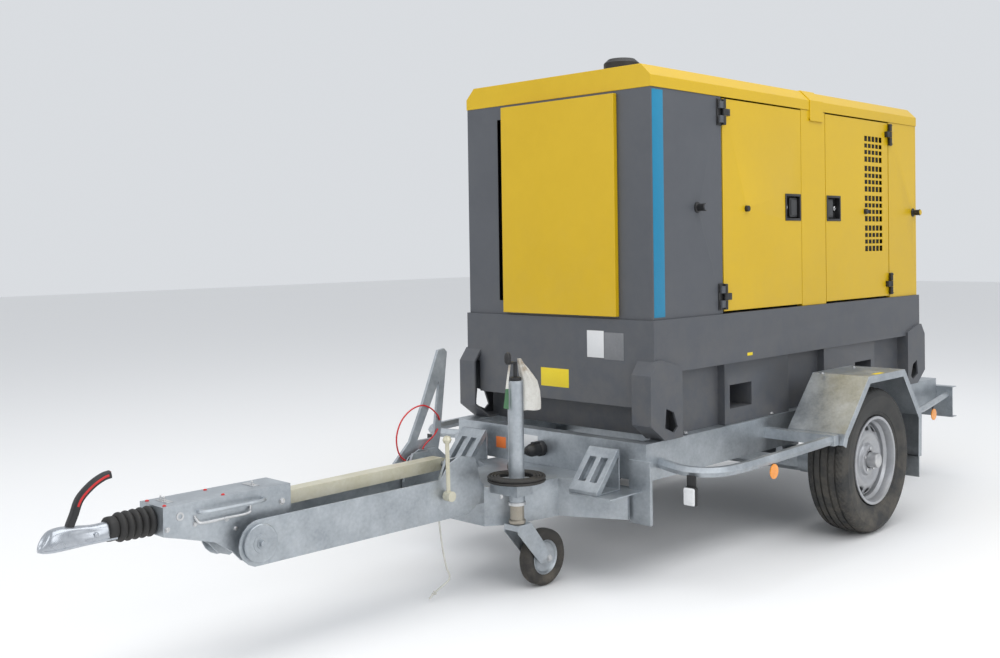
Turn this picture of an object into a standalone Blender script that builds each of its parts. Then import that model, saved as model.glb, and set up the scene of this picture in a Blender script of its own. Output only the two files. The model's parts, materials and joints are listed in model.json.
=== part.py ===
"""Towable diesel generator: a silenced canopy on a bunded base, on a single-axle road trailer.

Metres, +Z up.  X runs along the trailer with the towbar at -X, the kerb side (left) at -Y.
The origin is on the ground, under the middle of the whole outfit.
"""

import math

import bmesh
import bpy
from mathutils import Matrix, Vector

# ---------------------------------------------------------------- driving dimensions
TOWBAR_REACH = 3.391      # axle line to the tip of the coupling
TAIL_REACH = 1.450        # axle line to the back of the light bar
AXLE_X = (TOWBAR_REACH - TAIL_REACH) / 2
GAP = 0.0003              # between pieces that touch
CLEAR = 0.002             # between pieces that move past each other

# wheels and axle
TYRE_R = 0.325
TYRE_W = 0.190
RIM_R = 0.190
WHEEL_Y = 0.755           # centre plane of a wheel
WHEEL_Z = TYRE_R
SWING = 0.160             # length of the torsion axle's trailing arm
AXLE_BEAM_R = 0.048
HUB_R = 0.062

# trailer frame
FRAME_TOP = 0.535
FRAME_DEPTH = 0.145
FRAME_HALF = 0.520
RAIL_W = 0.060
FRAME_AHEAD = 1.270       # axle line to the front face of the frame
FRAME_BACK = 1.395

# bunded base
DECK_Z = 1.0065
BAND_Z = 0.795            # bottom of the base's smooth upper band
SKIRT_Z = 0.660           # bottom of its front and rear aprons
BASE_HALF = 0.518
TUB_HALF = 0.470
BASE_WALL = 0.005
FOOT_W = 0.094
FOOT_OUT = 0.050          # how far a foot stands out past the base's end
FORK_X = 0.565            # fork pockets either side of the canopy's middle
FORK_W = 0.172
FORK_H = 0.100
FORK_Z = 0.601

# canopy
CANOPY_AHEAD = 1.199
CANOPY_LENGTH = 2.379
CANOPY_HALF = 0.5075
EAVES_Z = 1.915
FASCIA = 0.045
CHAMFER = 0.0475
SHEET = 0.003
DOOR_T = 0.030
DOOR_GAP = 0.004
DOOR_LOW = 0.010          # sill above the deck
HINGE_OUT = 0.012         # hinge line outside the canopy's side
HINGE_R = 0.009
HINGE_H = 0.090
PEG_REACH = {"front": 0.185, "rear": 0.290}    # door stop on the wall to hinge line
STUD_REACH = {"front": 0.185, "rear": 0.265}   # stud on the door to hinge line
PEG_LEN = 0.045
STUD_LEN = 0.012
LATCH_W = 0.130
LATCH_H = 0.114
LATCH_Z = 1.461
LATCH_DEPTH = 0.024

# towbar
ARM_HALF = 0.114
ARM_T = 0.006
ARM_REAR = (-1.915, 0.393)      # rear pivot, from the axle line and the ground
ARM_FRONT = (-2.740, 0.385)     # front pivot
LINK_RISE = (0.039, 0.100)      # link pivots from the arm pivots
LINK_HALF = 0.028
LINK_H = 0.045
PIN_R = 0.010
DISC_R = 0.070
HOUSING_HALF = 0.070
DRAW_Z = 0.495
DRAW_R = 0.025
BELLOWS_R = 0.047
BALL_R = 0.0255

# jockey wheel
JOCKEY_X = -1.676
JOCKEY_Y = -0.2185
JOCKEY_TUBE_R = 0.030
JOCKEY_WALL = 0.0025
JOCKEY_LOW = 0.331
JOCKEY_TOP = 0.800
JOCKEY_WHEEL_R = 0.108
JOCKEY_WHEEL_W = 0.060
JOCKEY_TRAIL = 0.136

FRONT = AXLE_X - CANOPY_AHEAD
REAR = FRONT + CANOPY_LENGTH
MIDDLE = (FRONT + REAR) / 2
FRAME_LOW = FRAME_TOP - FRAME_DEPTH
BASE_LOW = FRAME_TOP + GAP
ROOF_Z = EAVES_Z + FASCIA + CHAMFER

YELLOW = (0.66, 0.42, 0.005)
GREY = (0.085, 0.092, 0.108)
ZINC = (0.42, 0.45, 0.48)
BLACK = (0.012, 0.012, 0.013)
RUBBER = (0.02, 0.02, 0.021)
STEEL = (0.50, 0.50, 0.52)
IRON = (0.10, 0.11, 0.12)
RED = (0.45, 0.02, 0.02)
CREAM = (0.62, 0.58, 0.46)
SILVER = (0.42, 0.43, 0.45)
CLOTH = (0.60, 0.58, 0.50)

for old in list(bpy.data.objects):
    bpy.data.objects.remove(old, do_unlink=True)
parts = bpy.data.collections.new("towable_diesel_generator")
cutters = bpy.data.collections.new("cutters")
bpy.context.scene.collection.children.link(parts)
bpy.context.scene.collection.children.link(cutters)
cutters.hide_render = True


# ---------------------------------------------------------------- ways of making a piece
def material(name, colour, roughness, metallic):
    made = bpy.data.materials.new(name)
    made.use_nodes = True
    shader = made.node_tree.nodes["Principled BSDF"]
    shader.inputs["Base Color"].default_value = (*colour, 1)
    shader.inputs["Roughness"].default_value = roughness
    shader.inputs["Metallic"].default_value = metallic
    made.diffuse_color = (*colour, 1)
    return made


def mesh_object(name, mesh):
    made = bpy.data.objects.new(name, mesh)
    parts.objects.link(made)
    return made


def from_bmesh(name, shape):
    mesh = bpy.data.meshes.new(name)
    bmesh.ops.recalc_face_normals(shape, faces=shape.faces[:])
    shape.to_mesh(mesh)
    shape.free()
    return mesh_object(name, mesh)


def box(name, low, high):
    """A box from its lowest to its highest corner."""
    shape = bmesh.new()
    bmesh.ops.create_cube(shape, size=1)
    size = Vector(high) - Vector(low)
    middle = (Vector(high) + Vector(low)) / 2
    bmesh.ops.scale(shape, vec=size, verts=shape.verts)
    bmesh.ops.translate(shape, vec=middle, verts=shape.verts)
    return from_bmesh(name, shape)


AXIS_TURN = {
    "x": Matrix.Rotation(math.pi / 2, 4, "Y"),
    "y": Matrix.Rotation(-math.pi / 2, 4, "X"),
    "z": Matrix.Identity(4),
}


def round_bar(name, axis, centre, radius, length, sides=20, tip_radius=None):
    """A cylinder or cone whose middle is at centre, along axis x, y or z."""
    shape = bmesh.new()
    tip = radius if tip_radius is None else tip_radius
    bmesh.ops.create_cone(
        shape, cap_ends=True, segments=sides, radius1=radius, radius2=tip, depth=length
    )
    bmesh.ops.transform(shape, matrix=Matrix.Translation(centre) @ AXIS_TURN[axis], verts=shape.verts)
    return from_bmesh(name, shape)


PLANE_TURN = {
    "xy": Matrix(((1, 0, 0, 0), (0, 1, 0, 0), (0, 0, 1, 0), (0, 0, 0, 1))),
    "xz": Matrix(((1, 0, 0, 0), (0, 0, -1, 0), (0, 1, 0, 0), (0, 0, 0, 1))),
    "yz": Matrix(((0, 0, 1, 0), (1, 0, 0, 0), (0, 1, 0, 0), (0, 0, 0, 1))),
}


def plate(name, plane, outlines, start, end):
    """Flat outlines (the first is the edge, the rest are holes) given thickness from start to end.

    The plane is xy, xz or yz, and start and end lie along the axis that it leaves out.
    """
    curve = bpy.data.curves.new(name, "CURVE")
    curve.dimensions = "2D"
    curve.fill_mode = "BOTH"
    curve.extrude = abs(end - start) / 2
    for outline in outlines:
        spline = curve.splines.new("POLY")
        spline.points.add(len(outline) - 1)
        for point, (a, b) in zip(spline.points, outline):
            point.co = (a, b, 0, 1)
        spline.use_cyclic_u = True
    guide = bpy.data.objects.new(name + "_outline", curve)
    parts.objects.link(guide)
    bpy.context.view_layer.update()
    mesh = bpy.data.meshes.new_from_object(guide.evaluated_get(bpy.context.evaluated_depsgraph_get()))
    bpy.data.objects.remove(guide, do_unlink=True)
    shape = bmesh.new()
    shape.from_mesh(mesh)
    bmesh.ops.remove_doubles(shape, verts=shape.verts, dist=1e-5)
    along = {"xy": Vector((0, 0, 1)), "xz": Vector((0, 1, 0)), "yz": Vector((1, 0, 0))}[plane]
    place = Matrix.Translation(along * (start + end) / 2) @ PLANE_TURN[plane]
    bmesh.ops.transform(shape, matrix=place, verts=shape.verts)
    return from_bmesh(name, shape)


def turned(name, profile, centre, axis="z", steps=24):
    """A profile of (radius, height) points turned about an axis through centre."""
    mesh = bpy.data.meshes.new(name)
    count = len(profile)
    closed = [(i, (i + 1) % count) for i in range(count)]
    open_edges = closed[:-1]
    ends_on_axis = profile[0][0] == 0 and profile[-1][0] == 0
    mesh.from_pydata([(r, 0, h) for r, h in profile], open_edges if ends_on_axis else closed, [])
    made = mesh_object(name, mesh)
    screw = made.modifiers.new("turn", "SCREW")
    screw.axis = "Z"
    screw.steps = steps
    screw.render_steps = steps
    screw.use_merge_vertices = True
    screw.merge_threshold = 1e-5
    baked = apply_modifiers(made)
    baked.data.transform(Matrix.Translation(centre) @ AXIS_TURN[axis])
    tidy_normals(baked)
    return baked


def tube(name, route, radius, resolution=2):
    """A round bar bent along a route of points, with flat ends."""
    curve = bpy.data.curves.new(name, "CURVE")
    curve.dimensions = "3D"
    curve.bevel_depth = radius
    curve.bevel_resolution = resolution
    curve.use_fill_caps = True
    spline = curve.splines.new("POLY")
    spline.points.add(len(route) - 1)
    for point, place in zip(spline.points, route):
        point.co = (*place, 1)
    made = bpy.data.objects.new(name, curve)
    parts.objects.link(made)
    baked = apply_modifiers(made)
    shape = bmesh.new()
    shape.from_mesh(baked.data)
    bmesh.ops.remove_doubles(shape, verts=shape.verts, dist=1e-5)
    bmesh.ops.recalc_face_normals(shape, faces=shape.faces[:])
    shape.to_mesh(baked.data)
    shape.free()
    return baked


def apply_modifiers(obj):
    """The object's evaluated mesh as a new object of the same name."""
    bpy.context.view_layer.update()
    mesh = bpy.data.meshes.new_from_object(obj.evaluated_get(bpy.context.evaluated_depsgraph_get()))
    name = obj.name
    matrix = obj.matrix_world.copy()
    bpy.data.objects.remove(obj, do_unlink=True)
    made = mesh_object(name, mesh)
    made.matrix_world = matrix
    return made


def tidy_normals(obj):
    shape = bmesh.new()
    shape.from_mesh(obj.data)
    bmesh.ops.remove_doubles(shape, verts=shape.verts, dist=1e-5)
    bmesh.ops.recalc_face_normals(shape, faces=shape.faces[:])
    shape.to_mesh(obj.data)
    shape.free()


def combine(obj, others, operation):
    """Adds the other pieces to an object, or cuts them out of it, one Boolean each.

    A plate's caps can hold corners in line with each other, which only the manifold solver takes.
    """
    for other in others:
        step = obj.modifiers.new(other.name, "BOOLEAN")
        step.operation = operation
        step.solver = "MANIFOLD"
        step.object = other
    made = apply_modifiers(obj)
    for other in others:
        bpy.data.objects.remove(other, do_unlink=True)
    return made


def join(obj, *others):
    return combine(obj, others, "UNION")


def cut(obj, *others):
    return combine(obj, others, "DIFFERENCE")


def finish(obj, finish_material, origin=None):
    """Gives a piece its material and, where it moves, its origin on the joint's axis."""
    obj.data.materials.clear()
    obj.data.materials.append(finish_material)
    obj.data.shade_smooth()
    obj.data.set_sharp_from_angle(angle=math.radians(35))
    if origin is not None:
        place = Vector(origin)
        obj.data.transform(Matrix.Translation(-place))
        obj.location = place
    return obj


def arc(centre, radius, first, last, steps):
    """Points of an arc in a plane, in degrees."""
    found = []
    for i in range(steps + 1):
        angle = math.radians(first + (last - first) * i / steps)
        found.append((centre[0] + radius * math.cos(angle), centre[1] + radius * math.sin(angle)))
    return found


def rectangle(low_a, low_b, high_a, high_b):
    return [(low_a, low_b), (high_a, low_b), (high_a, high_b), (low_a, high_b)]


def smooth_route(points, count):
    """Evenly numbered points of a Catmull-Rom curve through a few chosen ones."""
    chosen = [Vector(p) for p in points]
    chosen = [2 * chosen[0] - chosen[1]] + chosen + [2 * chosen[-1] - chosen[-2]]
    spans = len(chosen) - 3
    route = []
    for i in range(count):
        place = spans * i / (count - 1)
        k = min(int(place), spans - 1)
        t = place - k
        a, b, c, d = chosen[k : k + 4]
        route.append(
            0.5 * (2 * b + (c - a) * t + (2 * a - 5 * b + 4 * c - d) * t**2 + (3 * b - a - 3 * c + d) * t**3)
        )
    return route


def from_axle(x):
    return AXLE_X + x


yellow_paint = material("yellow_paint", YELLOW, 0.38, 0.0)
grey_paint = material("grey_paint", GREY, 0.45, 0.0)
zinc = material("galvanised_steel", ZINC, 0.45, 0.8)
black_plastic = material("black_plastic", BLACK, 0.5, 0.0)
tyre_rubber = material("tyre_rubber", RUBBER, 0.85, 0.0)
black_rubber = material("black_rubber", RUBBER, 0.7, 0.0)
rim_paint = material("rim_paint", SILVER, 0.35, 0.0)
bright_steel = material("bright_steel", STEEL, 0.35, 1.0)
exhaust_steel = material("exhaust_steel", STEEL, 0.6, 0.8)
engine_paint = material("engine_paint", IRON, 0.55, 0.3)
red_plastic = material("red_plastic", RED, 0.45, 0.0)
cream_zinc = material("passivated_steel", CREAM, 0.45, 0.4)
bag_cloth = material("bag_cloth", CLOTH, 0.85, 0.0)
rope_fibre = material("rope_fibre", CLOTH, 0.9, 0.0)


# ---------------------------------------------------------------- trailer frame
inside_half = FRAME_HALF - RAIL_W
frame_holes = []
cross_x = [-FRAME_AHEAD, -0.62, 0.02, 0.70, FRAME_BACK - RAIL_W]
for first, second in zip(cross_x, cross_x[1:]):
    frame_holes.append(
        rectangle(from_axle(first + RAIL_W), -inside_half, from_axle(second), inside_half)
    )
chassis_frame = plate(
    "chassis_frame",
    "xy",
    [rectangle(from_axle(-FRAME_AHEAD), -FRAME_HALF, from_axle(FRAME_BACK), FRAME_HALF)] + frame_holes,
    FRAME_LOW,
    FRAME_TOP,
)
RAIL_T = 0.006                   # folded channels: side rails open inwards, crossmembers to the rear
for number, (first, second) in enumerate(zip(cross_x, cross_x[1:])):
    ends = (from_axle(first + RAIL_W) - 0.001, from_axle(second) + 0.001)
    for side in (-1, 1):
        y_low, y_high = sorted((side * (inside_half - 0.010), side * (FRAME_HALF - RAIL_T)))
        channel = box(
            "channel", (ends[0], y_low, FRAME_LOW + RAIL_T), (ends[1], y_high, FRAME_TOP - RAIL_T)
        )
        chassis_frame = cut(chassis_frame, channel)
    crossing = box(
        "crossing",
        (from_axle(first) + RAIL_T, -inside_half, FRAME_LOW + RAIL_T),
        (from_axle(first + RAIL_W) + 0.010, inside_half, FRAME_TOP - RAIL_T),
    )
    chassis_frame = cut(chassis_frame, crossing)
GUARD_IN = 0.600
BAR_Z = 0.468                    # bars that carry the mudguards
BAR_H = 0.045
BAR_T = 0.040
GUARD_FRONT = -0.370
GUARD_BACK = 0.407
BAR_OUT = 0.850
for number, place in enumerate((GUARD_FRONT - BAR_T - GAP, GUARD_BACK + GAP)):
    bar = box(
        f"guard_bar_{number}",
        (from_axle(place), -BAR_OUT, BAR_Z - BAR_H / 2),
        (from_axle(place) + BAR_T, BAR_OUT, BAR_Z + BAR_H / 2),
    )
    chassis_frame = join(chassis_frame, bar)
SIDE_TUBE_R = 0.021
CHOCK_Y = (0.300, 0.500)
CHOCK_SHELF = 0.355
SHELF_T = 0.006
for side in (-1, 1):
    bow = tube(
        f"bow_{side}",
        smooth_route(
            [
                (from_axle(-1.170), side * (FRAME_HALF - 0.020), 0.452),
                (from_axle(-1.215), side * 0.600, 0.452),
                (from_axle(-1.240), side * 0.700, 0.452),
                (from_axle(-1.190), side * 0.780, 0.452),
                (from_axle(-1.080), side * 0.812, 0.454),
                (from_axle(-0.850), side * 0.820, 0.458),
                (from_axle(GUARD_FRONT - BAR_T + 0.010), side * 0.826, BAR_Z),
            ],
            18,
        ),
        SIDE_TUBE_R,
        1,
    )
    shelf = box(
        f"shelf_{side}",
        (from_axle(-1.470), min(side * CHOCK_Y[0], side * CHOCK_Y[1]), CHOCK_SHELF - SHELF_T),
        (from_axle(-FRAME_AHEAD) + 0.030, max(side * CHOCK_Y[0], side * CHOCK_Y[1]), CHOCK_SHELF),
    )
    leg = box(
        f"leg_{side}",
        (from_axle(-FRAME_AHEAD) - 0.006, min(side * 0.440, side * 0.540), 0.225),
        (from_axle(-FRAME_AHEAD) + 0.010, max(side * 0.440, side * 0.540), FRAME_LOW + 0.080),
    )
    chassis_frame = join(chassis_frame, bow, shelf, leg)
PIVOT_X = -SWING
for side in (-1, 1):
    bracket = box(
        f"axle_bracket_{side}",
        (from_axle(PIVOT_X) - 0.075, side * 0.490 - 0.012, FRAME_LOW - 0.020),
        (from_axle(PIVOT_X) + 0.075, side * 0.490 + 0.012, FRAME_LOW + 0.040),
    )
    chassis_frame = join(chassis_frame, bracket)
finish(chassis_frame, zinc)

# torsion axle: a tube across the trailer, with a trailing arm in each end
PIVOT_Z = WHEEL_Z - 0.010
BEAM_HALF = 0.560
axle_beam = round_bar(
    "axle_beam", "y", (from_axle(PIVOT_X), 0, PIVOT_Z), AXLE_BEAM_R, 2 * BEAM_HALF, sides=6
)
for side in (-1, 1):
    saddle = box(
        f"saddle_{side}",
        (from_axle(PIVOT_X) - 0.055, side * 0.490 - 0.030, PIVOT_Z),
        (from_axle(PIVOT_X) + 0.055, side * 0.490 + 0.030, FRAME_LOW - 0.020 - GAP),
    )
    axle_beam = join(axle_beam, saddle)
finish(axle_beam, zinc)

ARM_IN = BEAM_HALF + CLEAR
ARM_OUT = WHEEL_Y - TYRE_W / 2 - 0.006
for side, word in ((-1, "left"), (1, "right")):
    outline = arc((from_axle(PIVOT_X), PIVOT_Z), 0.050, 90, 270, 8)
    outline += arc((from_axle(0), WHEEL_Z), 0.042, -90, 90, 8)
    low, high = sorted((side * ARM_IN, side * ARM_OUT))
    swing_arm = plate(f"{word}_swing_arm", "xz", [outline], low, high)
    stub = round_bar(
        "stub",
        "y",
        (from_axle(0), side * (ARM_OUT + WHEEL_Y + 0.020) / 2, WHEEL_Z),
        0.022,
        WHEEL_Y + 0.020 - ARM_OUT + 0.040,
    )
    swing_arm = join(swing_arm, stub)
    finish(swing_arm, zinc, (from_axle(PIVOT_X), side * ARM_IN, PIVOT_Z))

# wheels: a dished rim with its drum, and a tyre round it
RIM_HALF = 0.075
STUB_R = 0.022
shoulder = TYRE_W / 2
rim_profile = [
    (0.0, RIM_HALF + 0.022),
    (HUB_R, RIM_HALF + 0.022),
    (HUB_R + 0.016, 0.030),
    (0.120, 0.044),
    (0.160, 0.020),
    (RIM_R - 0.018, RIM_HALF),
    (RIM_R + 0.006, RIM_HALF + 0.006),
    (RIM_R - 0.006, RIM_HALF - 0.004),
    (RIM_R - 0.012, 0.004 - RIM_HALF),
    (RIM_R + 0.006, -RIM_HALF - 0.006),
    (RIM_R - 0.018, -RIM_HALF),
    (0.160, -0.010),
    (0.130, -0.010),
    (0.125, 0.012 - RIM_HALF),
    (STUB_R + CLEAR / 4, 0.012 - RIM_HALF),
    (STUB_R + CLEAR / 4, 0.045),
    (0.0, 0.045),
]
tyre_half = [
    (RIM_R + 0.007, 0.068),
    (RIM_R + 0.026, 0.086),
    (TYRE_R - 0.063, shoulder),
    (TYRE_R - 0.025, shoulder - 0.004),
    (TYRE_R - 0.007, shoulder - 0.018),
    (TYRE_R, shoulder - 0.045),
]
tyre_profile = tyre_half + [(radius, -across) for radius, across in reversed(tyre_half)]
for side, word in ((-1, "left"), (1, "right")):
    hub_centre = (from_axle(0), side * WHEEL_Y, WHEEL_Z)
    for piece_name, profile, steps, finish_material in (
        ("rim", rim_profile, 16, rim_paint),
        ("tyre", tyre_profile, 20, tyre_rubber),
    ):
        piece = turned(f"{word}_{piece_name}", profile, (0, 0, 0), steps=steps)
        outward = Matrix.Rotation(side * -math.pi / 2, 4, "X")
        piece.data.transform(Matrix.Translation(hub_centre) @ outward)
        finish(piece, finish_material, hub_centre)

# ---------------------------------------------------------------- mudguards and light bar
def offset(points, inset, ring=False):
    """The same run of points moved sideways, to its left, with mitred corners; a ring joins its ends."""
    moved = []
    last = len(points) - 1
    for i, point in enumerate(points):
        here = Vector(point)
        before = Vector(points[i - 1]) if i or ring else 2 * here - Vector(points[1])
        follows = i < last or ring
        after = Vector(points[(i + 1) % len(points)]) if follows else 2 * here - Vector(points[i - 1])
        into = (here - before).normalized()
        out = (after - here).normalized()
        normal = Vector((-into.y - out.y, into.x + out.x)).normalized()
        stretch = inset / normal.dot(Vector((-into.y, into.x)))
        moved.append(tuple(here + normal * stretch))
    return moved


def band(points, thickness):
    """A closed outline of even thickness on the left of a run of points."""
    return list(points) + offset(points, thickness)[::-1]


GUARD_OUT = 0.870
GUARD_T = 0.003
GUARD_LIP = 0.032
GUARD_TOP = 0.713
GUARD_RUN = [
    (0.400, 0.290),
    (GUARD_BACK, 0.482),
    (0.229, GUARD_TOP),
    (-0.127, GUARD_TOP),
    (-0.350, 0.490),
    (GUARD_FRONT, 0.445),
]
guard_run = [(from_axle(x), z) for x, z in GUARD_RUN]
guard_front = guard_run[-1][0]
guard_back = guard_run[1][0]
for side, word in ((-1, "left"), (1, "right")):
    low, high = sorted((side * GUARD_IN, side * GUARD_OUT))
    guard = plate(f"{word}_mudguard", "xz", [band(guard_run, GUARD_T)], low, high)
    lip_low, lip_high = sorted((side * (GUARD_OUT - GUARD_T), side * GUARD_OUT))
    lip = plate("lip", "xz", [band(guard_run, GUARD_LIP)], lip_low, lip_high)
    flap_x = guard_run[0][0]
    flap = box("flap", (flap_x - 0.007, low + 0.010, 0.190), (flap_x - 0.001, high - 0.010, 0.330))
    finish(join(guard, lip, flap), zinc)

C_T = 0.004
LIGHT_LOW = 0.326
LIGHT_TOP = 0.493
LIGHT_HALF = 0.610
light_x = from_axle(FRAME_BACK) + GAP
tail_x = from_axle(TAIL_REACH)
c_outline = [
    (light_x, LIGHT_LOW),
    (tail_x, LIGHT_LOW),
    (tail_x, LIGHT_LOW + C_T),
    (light_x + C_T, LIGHT_LOW + C_T),
    (light_x + C_T, LIGHT_TOP - C_T),
    (tail_x, LIGHT_TOP - C_T),
    (tail_x, LIGHT_TOP),
    (light_x, LIGHT_TOP),
]
rear_light_bar = plate("rear_light_bar", "xz", [c_outline], -LIGHT_HALF, LIGHT_HALF)
for side in (-1, 1):
    brace = tube(
        f"brace_{side}",
        [
            (guard_back + BAR_T + 2 * GAP, side * 0.780, BAR_Z),
            (guard_back + BAR_T + 0.060, side * 0.780, BAR_Z),
            (guard_back + 0.280, side * 0.755, BAR_Z),
            (light_x + C_T / 2, side * 0.575, BAR_Z - 0.020),
        ],
        0.015,
    )
    rear_light_bar = join(rear_light_bar, brace)
finish(rear_light_bar, zinc)

# ---------------------------------------------------------------- bunded base
def mirror_x(points):
    """Points of an xz outline turned to the other end of the canopy."""
    return [(2 * MIDDLE - a, b) for a, b in points]


BASE_OVER = 0.010                # base beyond the canopy at each end
BASE_FRONT = FRONT - BASE_OVER
BASE_REAR = REAR + BASE_OVER
TUB_END = 0.110                  # tub set back from the ends of the base
skid_base = box(
    "skid_base", (BASE_FRONT, -BASE_HALF, BAND_Z), (BASE_REAR, BASE_HALF, DECK_Z)
)
tub = box(
    "tub", (BASE_FRONT + TUB_END, -TUB_HALF, BASE_LOW), (BASE_REAR - TUB_END, TUB_HALF, BAND_Z + 0.010)
)
hollow = box(
    "hollow",
    (BASE_FRONT + BASE_WALL, BASE_WALL - BASE_HALF, BAND_Z + BASE_WALL),
    (BASE_REAR - BASE_WALL, BASE_HALF - BASE_WALL, DECK_Z - BASE_WALL),
)
mouth = box(
    "mouth",
    (FRONT + 0.050, 0.050 - CANOPY_HALF, BAND_Z + 0.100),
    (REAR - 0.050, CANOPY_HALF - 0.050, DECK_Z + 0.100),
)
tub_hollow = box(
    "tub_hollow",
    (BASE_FRONT + TUB_END + BASE_WALL, BASE_WALL - TUB_HALF, BASE_LOW + BASE_WALL),
    (BASE_REAR - TUB_END - BASE_WALL, TUB_HALF - BASE_WALL, BAND_Z + 0.100),
)
skid_base = cut(join(skid_base, tub), hollow, mouth, tub_hollow)
PAD_OUT = 0.505
FOOT_IN = BASE_HALF + 0.012 - FOOT_W
FOOT_T = 0.010
foot_run = [
    (BASE_FRONT - FOOT_OUT + 0.010, 0.600),
    (BASE_FRONT - FOOT_OUT + 0.010, BAND_Z),
    (BASE_FRONT + 0.003, BAND_Z + 0.055),
    (BASE_FRONT + 0.040, BAND_Z + 0.055),
    (BASE_FRONT + 0.170, BAND_Z + 0.020),
    (BASE_FRONT + 0.170, BASE_LOW),
    (BASE_FRONT + 0.050, BASE_LOW),
]
eye = [
    (BASE_FRONT + 0.050, 0.585),
    (BASE_FRONT + 0.110, 0.560),
    (BASE_FRONT + 0.135, 0.580),
    (BASE_FRONT + 0.110, 0.640),
    (BASE_FRONT + 0.060, 0.660),
]
extras = []
for side in (-1, 1):
    low, high = sorted((side * FOOT_IN, side * (BASE_HALF + 0.012)))
    for outline, hole in ((foot_run, eye), (mirror_x(foot_run), mirror_x(eye))):
        foot = plate("foot", "xz", [outline, hole], low, high)
        room_low, room_high = sorted((side * (FOOT_IN - 0.020), side * (BASE_HALF + 0.012 - FOOT_T)))
        turn = 1 if outline is foot_run else -1
        foot_room = plate("foot_room", "xz", [offset(outline, -turn * FOOT_T, True)], room_low, room_high)
        extras.append(cut(foot, foot_room))
    pad_low, pad_high = sorted((side * (TUB_HALF - 0.002), side * PAD_OUT))
    for first, last in ((-0.690, -0.165), (0.165, 0.690)):
        extras.append(
            box("pad", (MIDDLE + first, pad_low, BASE_LOW), (MIDDLE + last, pad_high, BAND_Z + 0.002))
        )
for end in (BASE_FRONT, BASE_REAR - BASE_WALL):
    extras.append(
        box("apron", (end, -FOOT_IN - 0.005, SKIRT_Z), (end + BASE_WALL, FOOT_IN + 0.005, BAND_Z + 0.010))
    )
skid_base = join(skid_base, *extras)
tunnels = []
for side in (-1, 1):
    middle = MIDDLE + side * FORK_X
    tunnel = box(
        "tunnel",
        (middle - FORK_W / 2 - BASE_WALL, 0.002 - TUB_HALF, FORK_Z - BASE_WALL),
        (middle + FORK_W / 2 + BASE_WALL, TUB_HALF - 0.002, FORK_Z + FORK_H + BASE_WALL),
    )
    skid_base = join(skid_base, tunnel)
    tunnels.append(
        box(
            "fork_hole",
            (middle - FORK_W / 2, -0.600, FORK_Z),
            (middle + FORK_W / 2, 0.600, FORK_Z + FORK_H),
        )
    )
skid_base = cut(skid_base, *tunnels)
BEARER_Y = 0.230
BEARER_HALF = 0.022
BEARER_TOP = 0.880
for side in (-1, 1):
    bearer = box(
        "bearer",
        (BASE_FRONT + 0.003, side * BEARER_Y - BEARER_HALF, BAND_Z + 0.030),
        (BASE_REAR - 0.003, side * BEARER_Y + BEARER_HALF, BEARER_TOP),
    )
    skid_base = join(skid_base, bearer)
finish(skid_base, grey_paint)

TANK_HALF_X = FORK_X - FORK_W / 2 - BASE_WALL - 0.020
fuel_tank = box(
    "fuel_tank",
    (MIDDLE - TANK_HALF_X, 0.030 - TUB_HALF, BASE_LOW + BASE_WALL + GAP),
    (MIDDLE + TANK_HALF_X, TUB_HALF - 0.030, BAND_Z + 0.010),
)
finish(fuel_tank, black_plastic)

# ---------------------------------------------------------------- canopy
HINGE_FRONT = AXLE_X - 0.705
HINGE_REAR = AXLE_X + 0.850
STRIP_FRONT = AXLE_X - 0.045
STRIP_REAR = AXLE_X + 0.180
WALL_LOW = DECK_Z + GAP
WALL_TOP = EAVES_Z - GAP
HINGE_LINE = CANOPY_HALF + HINGE_OUT
HINGE_ZS = (DECK_Z + 0.072, EAVES_Z - 0.065)
PEG_Z = 1.450


def knuckle(name, hinge_x, side, low, high, toward):
    """A hinge leaf on the canopy's side, curled round the hinge line, on the side that toward gives."""
    line = side * HINGE_LINE
    ring = arc((hinge_x, line), HINGE_R, 0, 315, 7)
    curl = plate(name, "xy", [ring], low, high)
    face = side * (CANOPY_HALF - 0.002)
    leaf_y = sorted((face, line + side * (HINGE_R - 0.004)))
    leaf_x = sorted((hinge_x + toward * 0.002, hinge_x + toward * 0.034))
    leaf = box(name + "_leaf", (leaf_x[0], leaf_y[0], low), (leaf_x[1], leaf_y[1], high))
    return join(curl, leaf)


def wall_hinges(wall, hinge_x, toward, reach):
    """The outer two thirds of each hinge, on the wall, and the stop peg."""
    third = HINGE_H / 3
    for side in (-1, 1):
        for middle in HINGE_ZS:
            for low in (middle - HINGE_H / 2, middle + third / 2):
                wall = join(wall, knuckle("knuckle", hinge_x, side, low, low + third - GAP, toward))
        peg_y = side * (CANOPY_HALF + PEG_LEN / 2 - 0.002)
        peg = round_bar(
            "peg", "y", (hinge_x + toward * reach, peg_y, PEG_Z), 0.014, PEG_LEN + 0.004, 8
        )
        wall = join(wall, peg)
    return wall


def end_wall(name, end_x, jamb_x, toward):
    """An end of the canopy: the end sheet and both sides as far as the door, folded from one sheet."""
    half = CANOPY_HALF
    run = [(jamb_x, 0.020 - half), (jamb_x, -half), (end_x, -half)]
    run += [(x, -y) for x, y in reversed(run)]
    if toward > 0:
        run = run[::-1]
    return plate(name, "xy", [band(run, -SHEET)], WALL_LOW, WALL_TOP)


JAMB = 0.004
front_wall = end_wall("front_wall", FRONT, HINGE_FRONT - JAMB, -1)
outlet = box(
    "outlet", (FRONT - 0.050, -0.280, DECK_Z + 0.060), (FRONT + 0.050, 0.322, EAVES_Z - 0.060)
)
front_wall = wall_hinges(cut(front_wall, outlet), HINGE_FRONT, -1, PEG_REACH["front"])
finish(front_wall, grey_paint)

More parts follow.
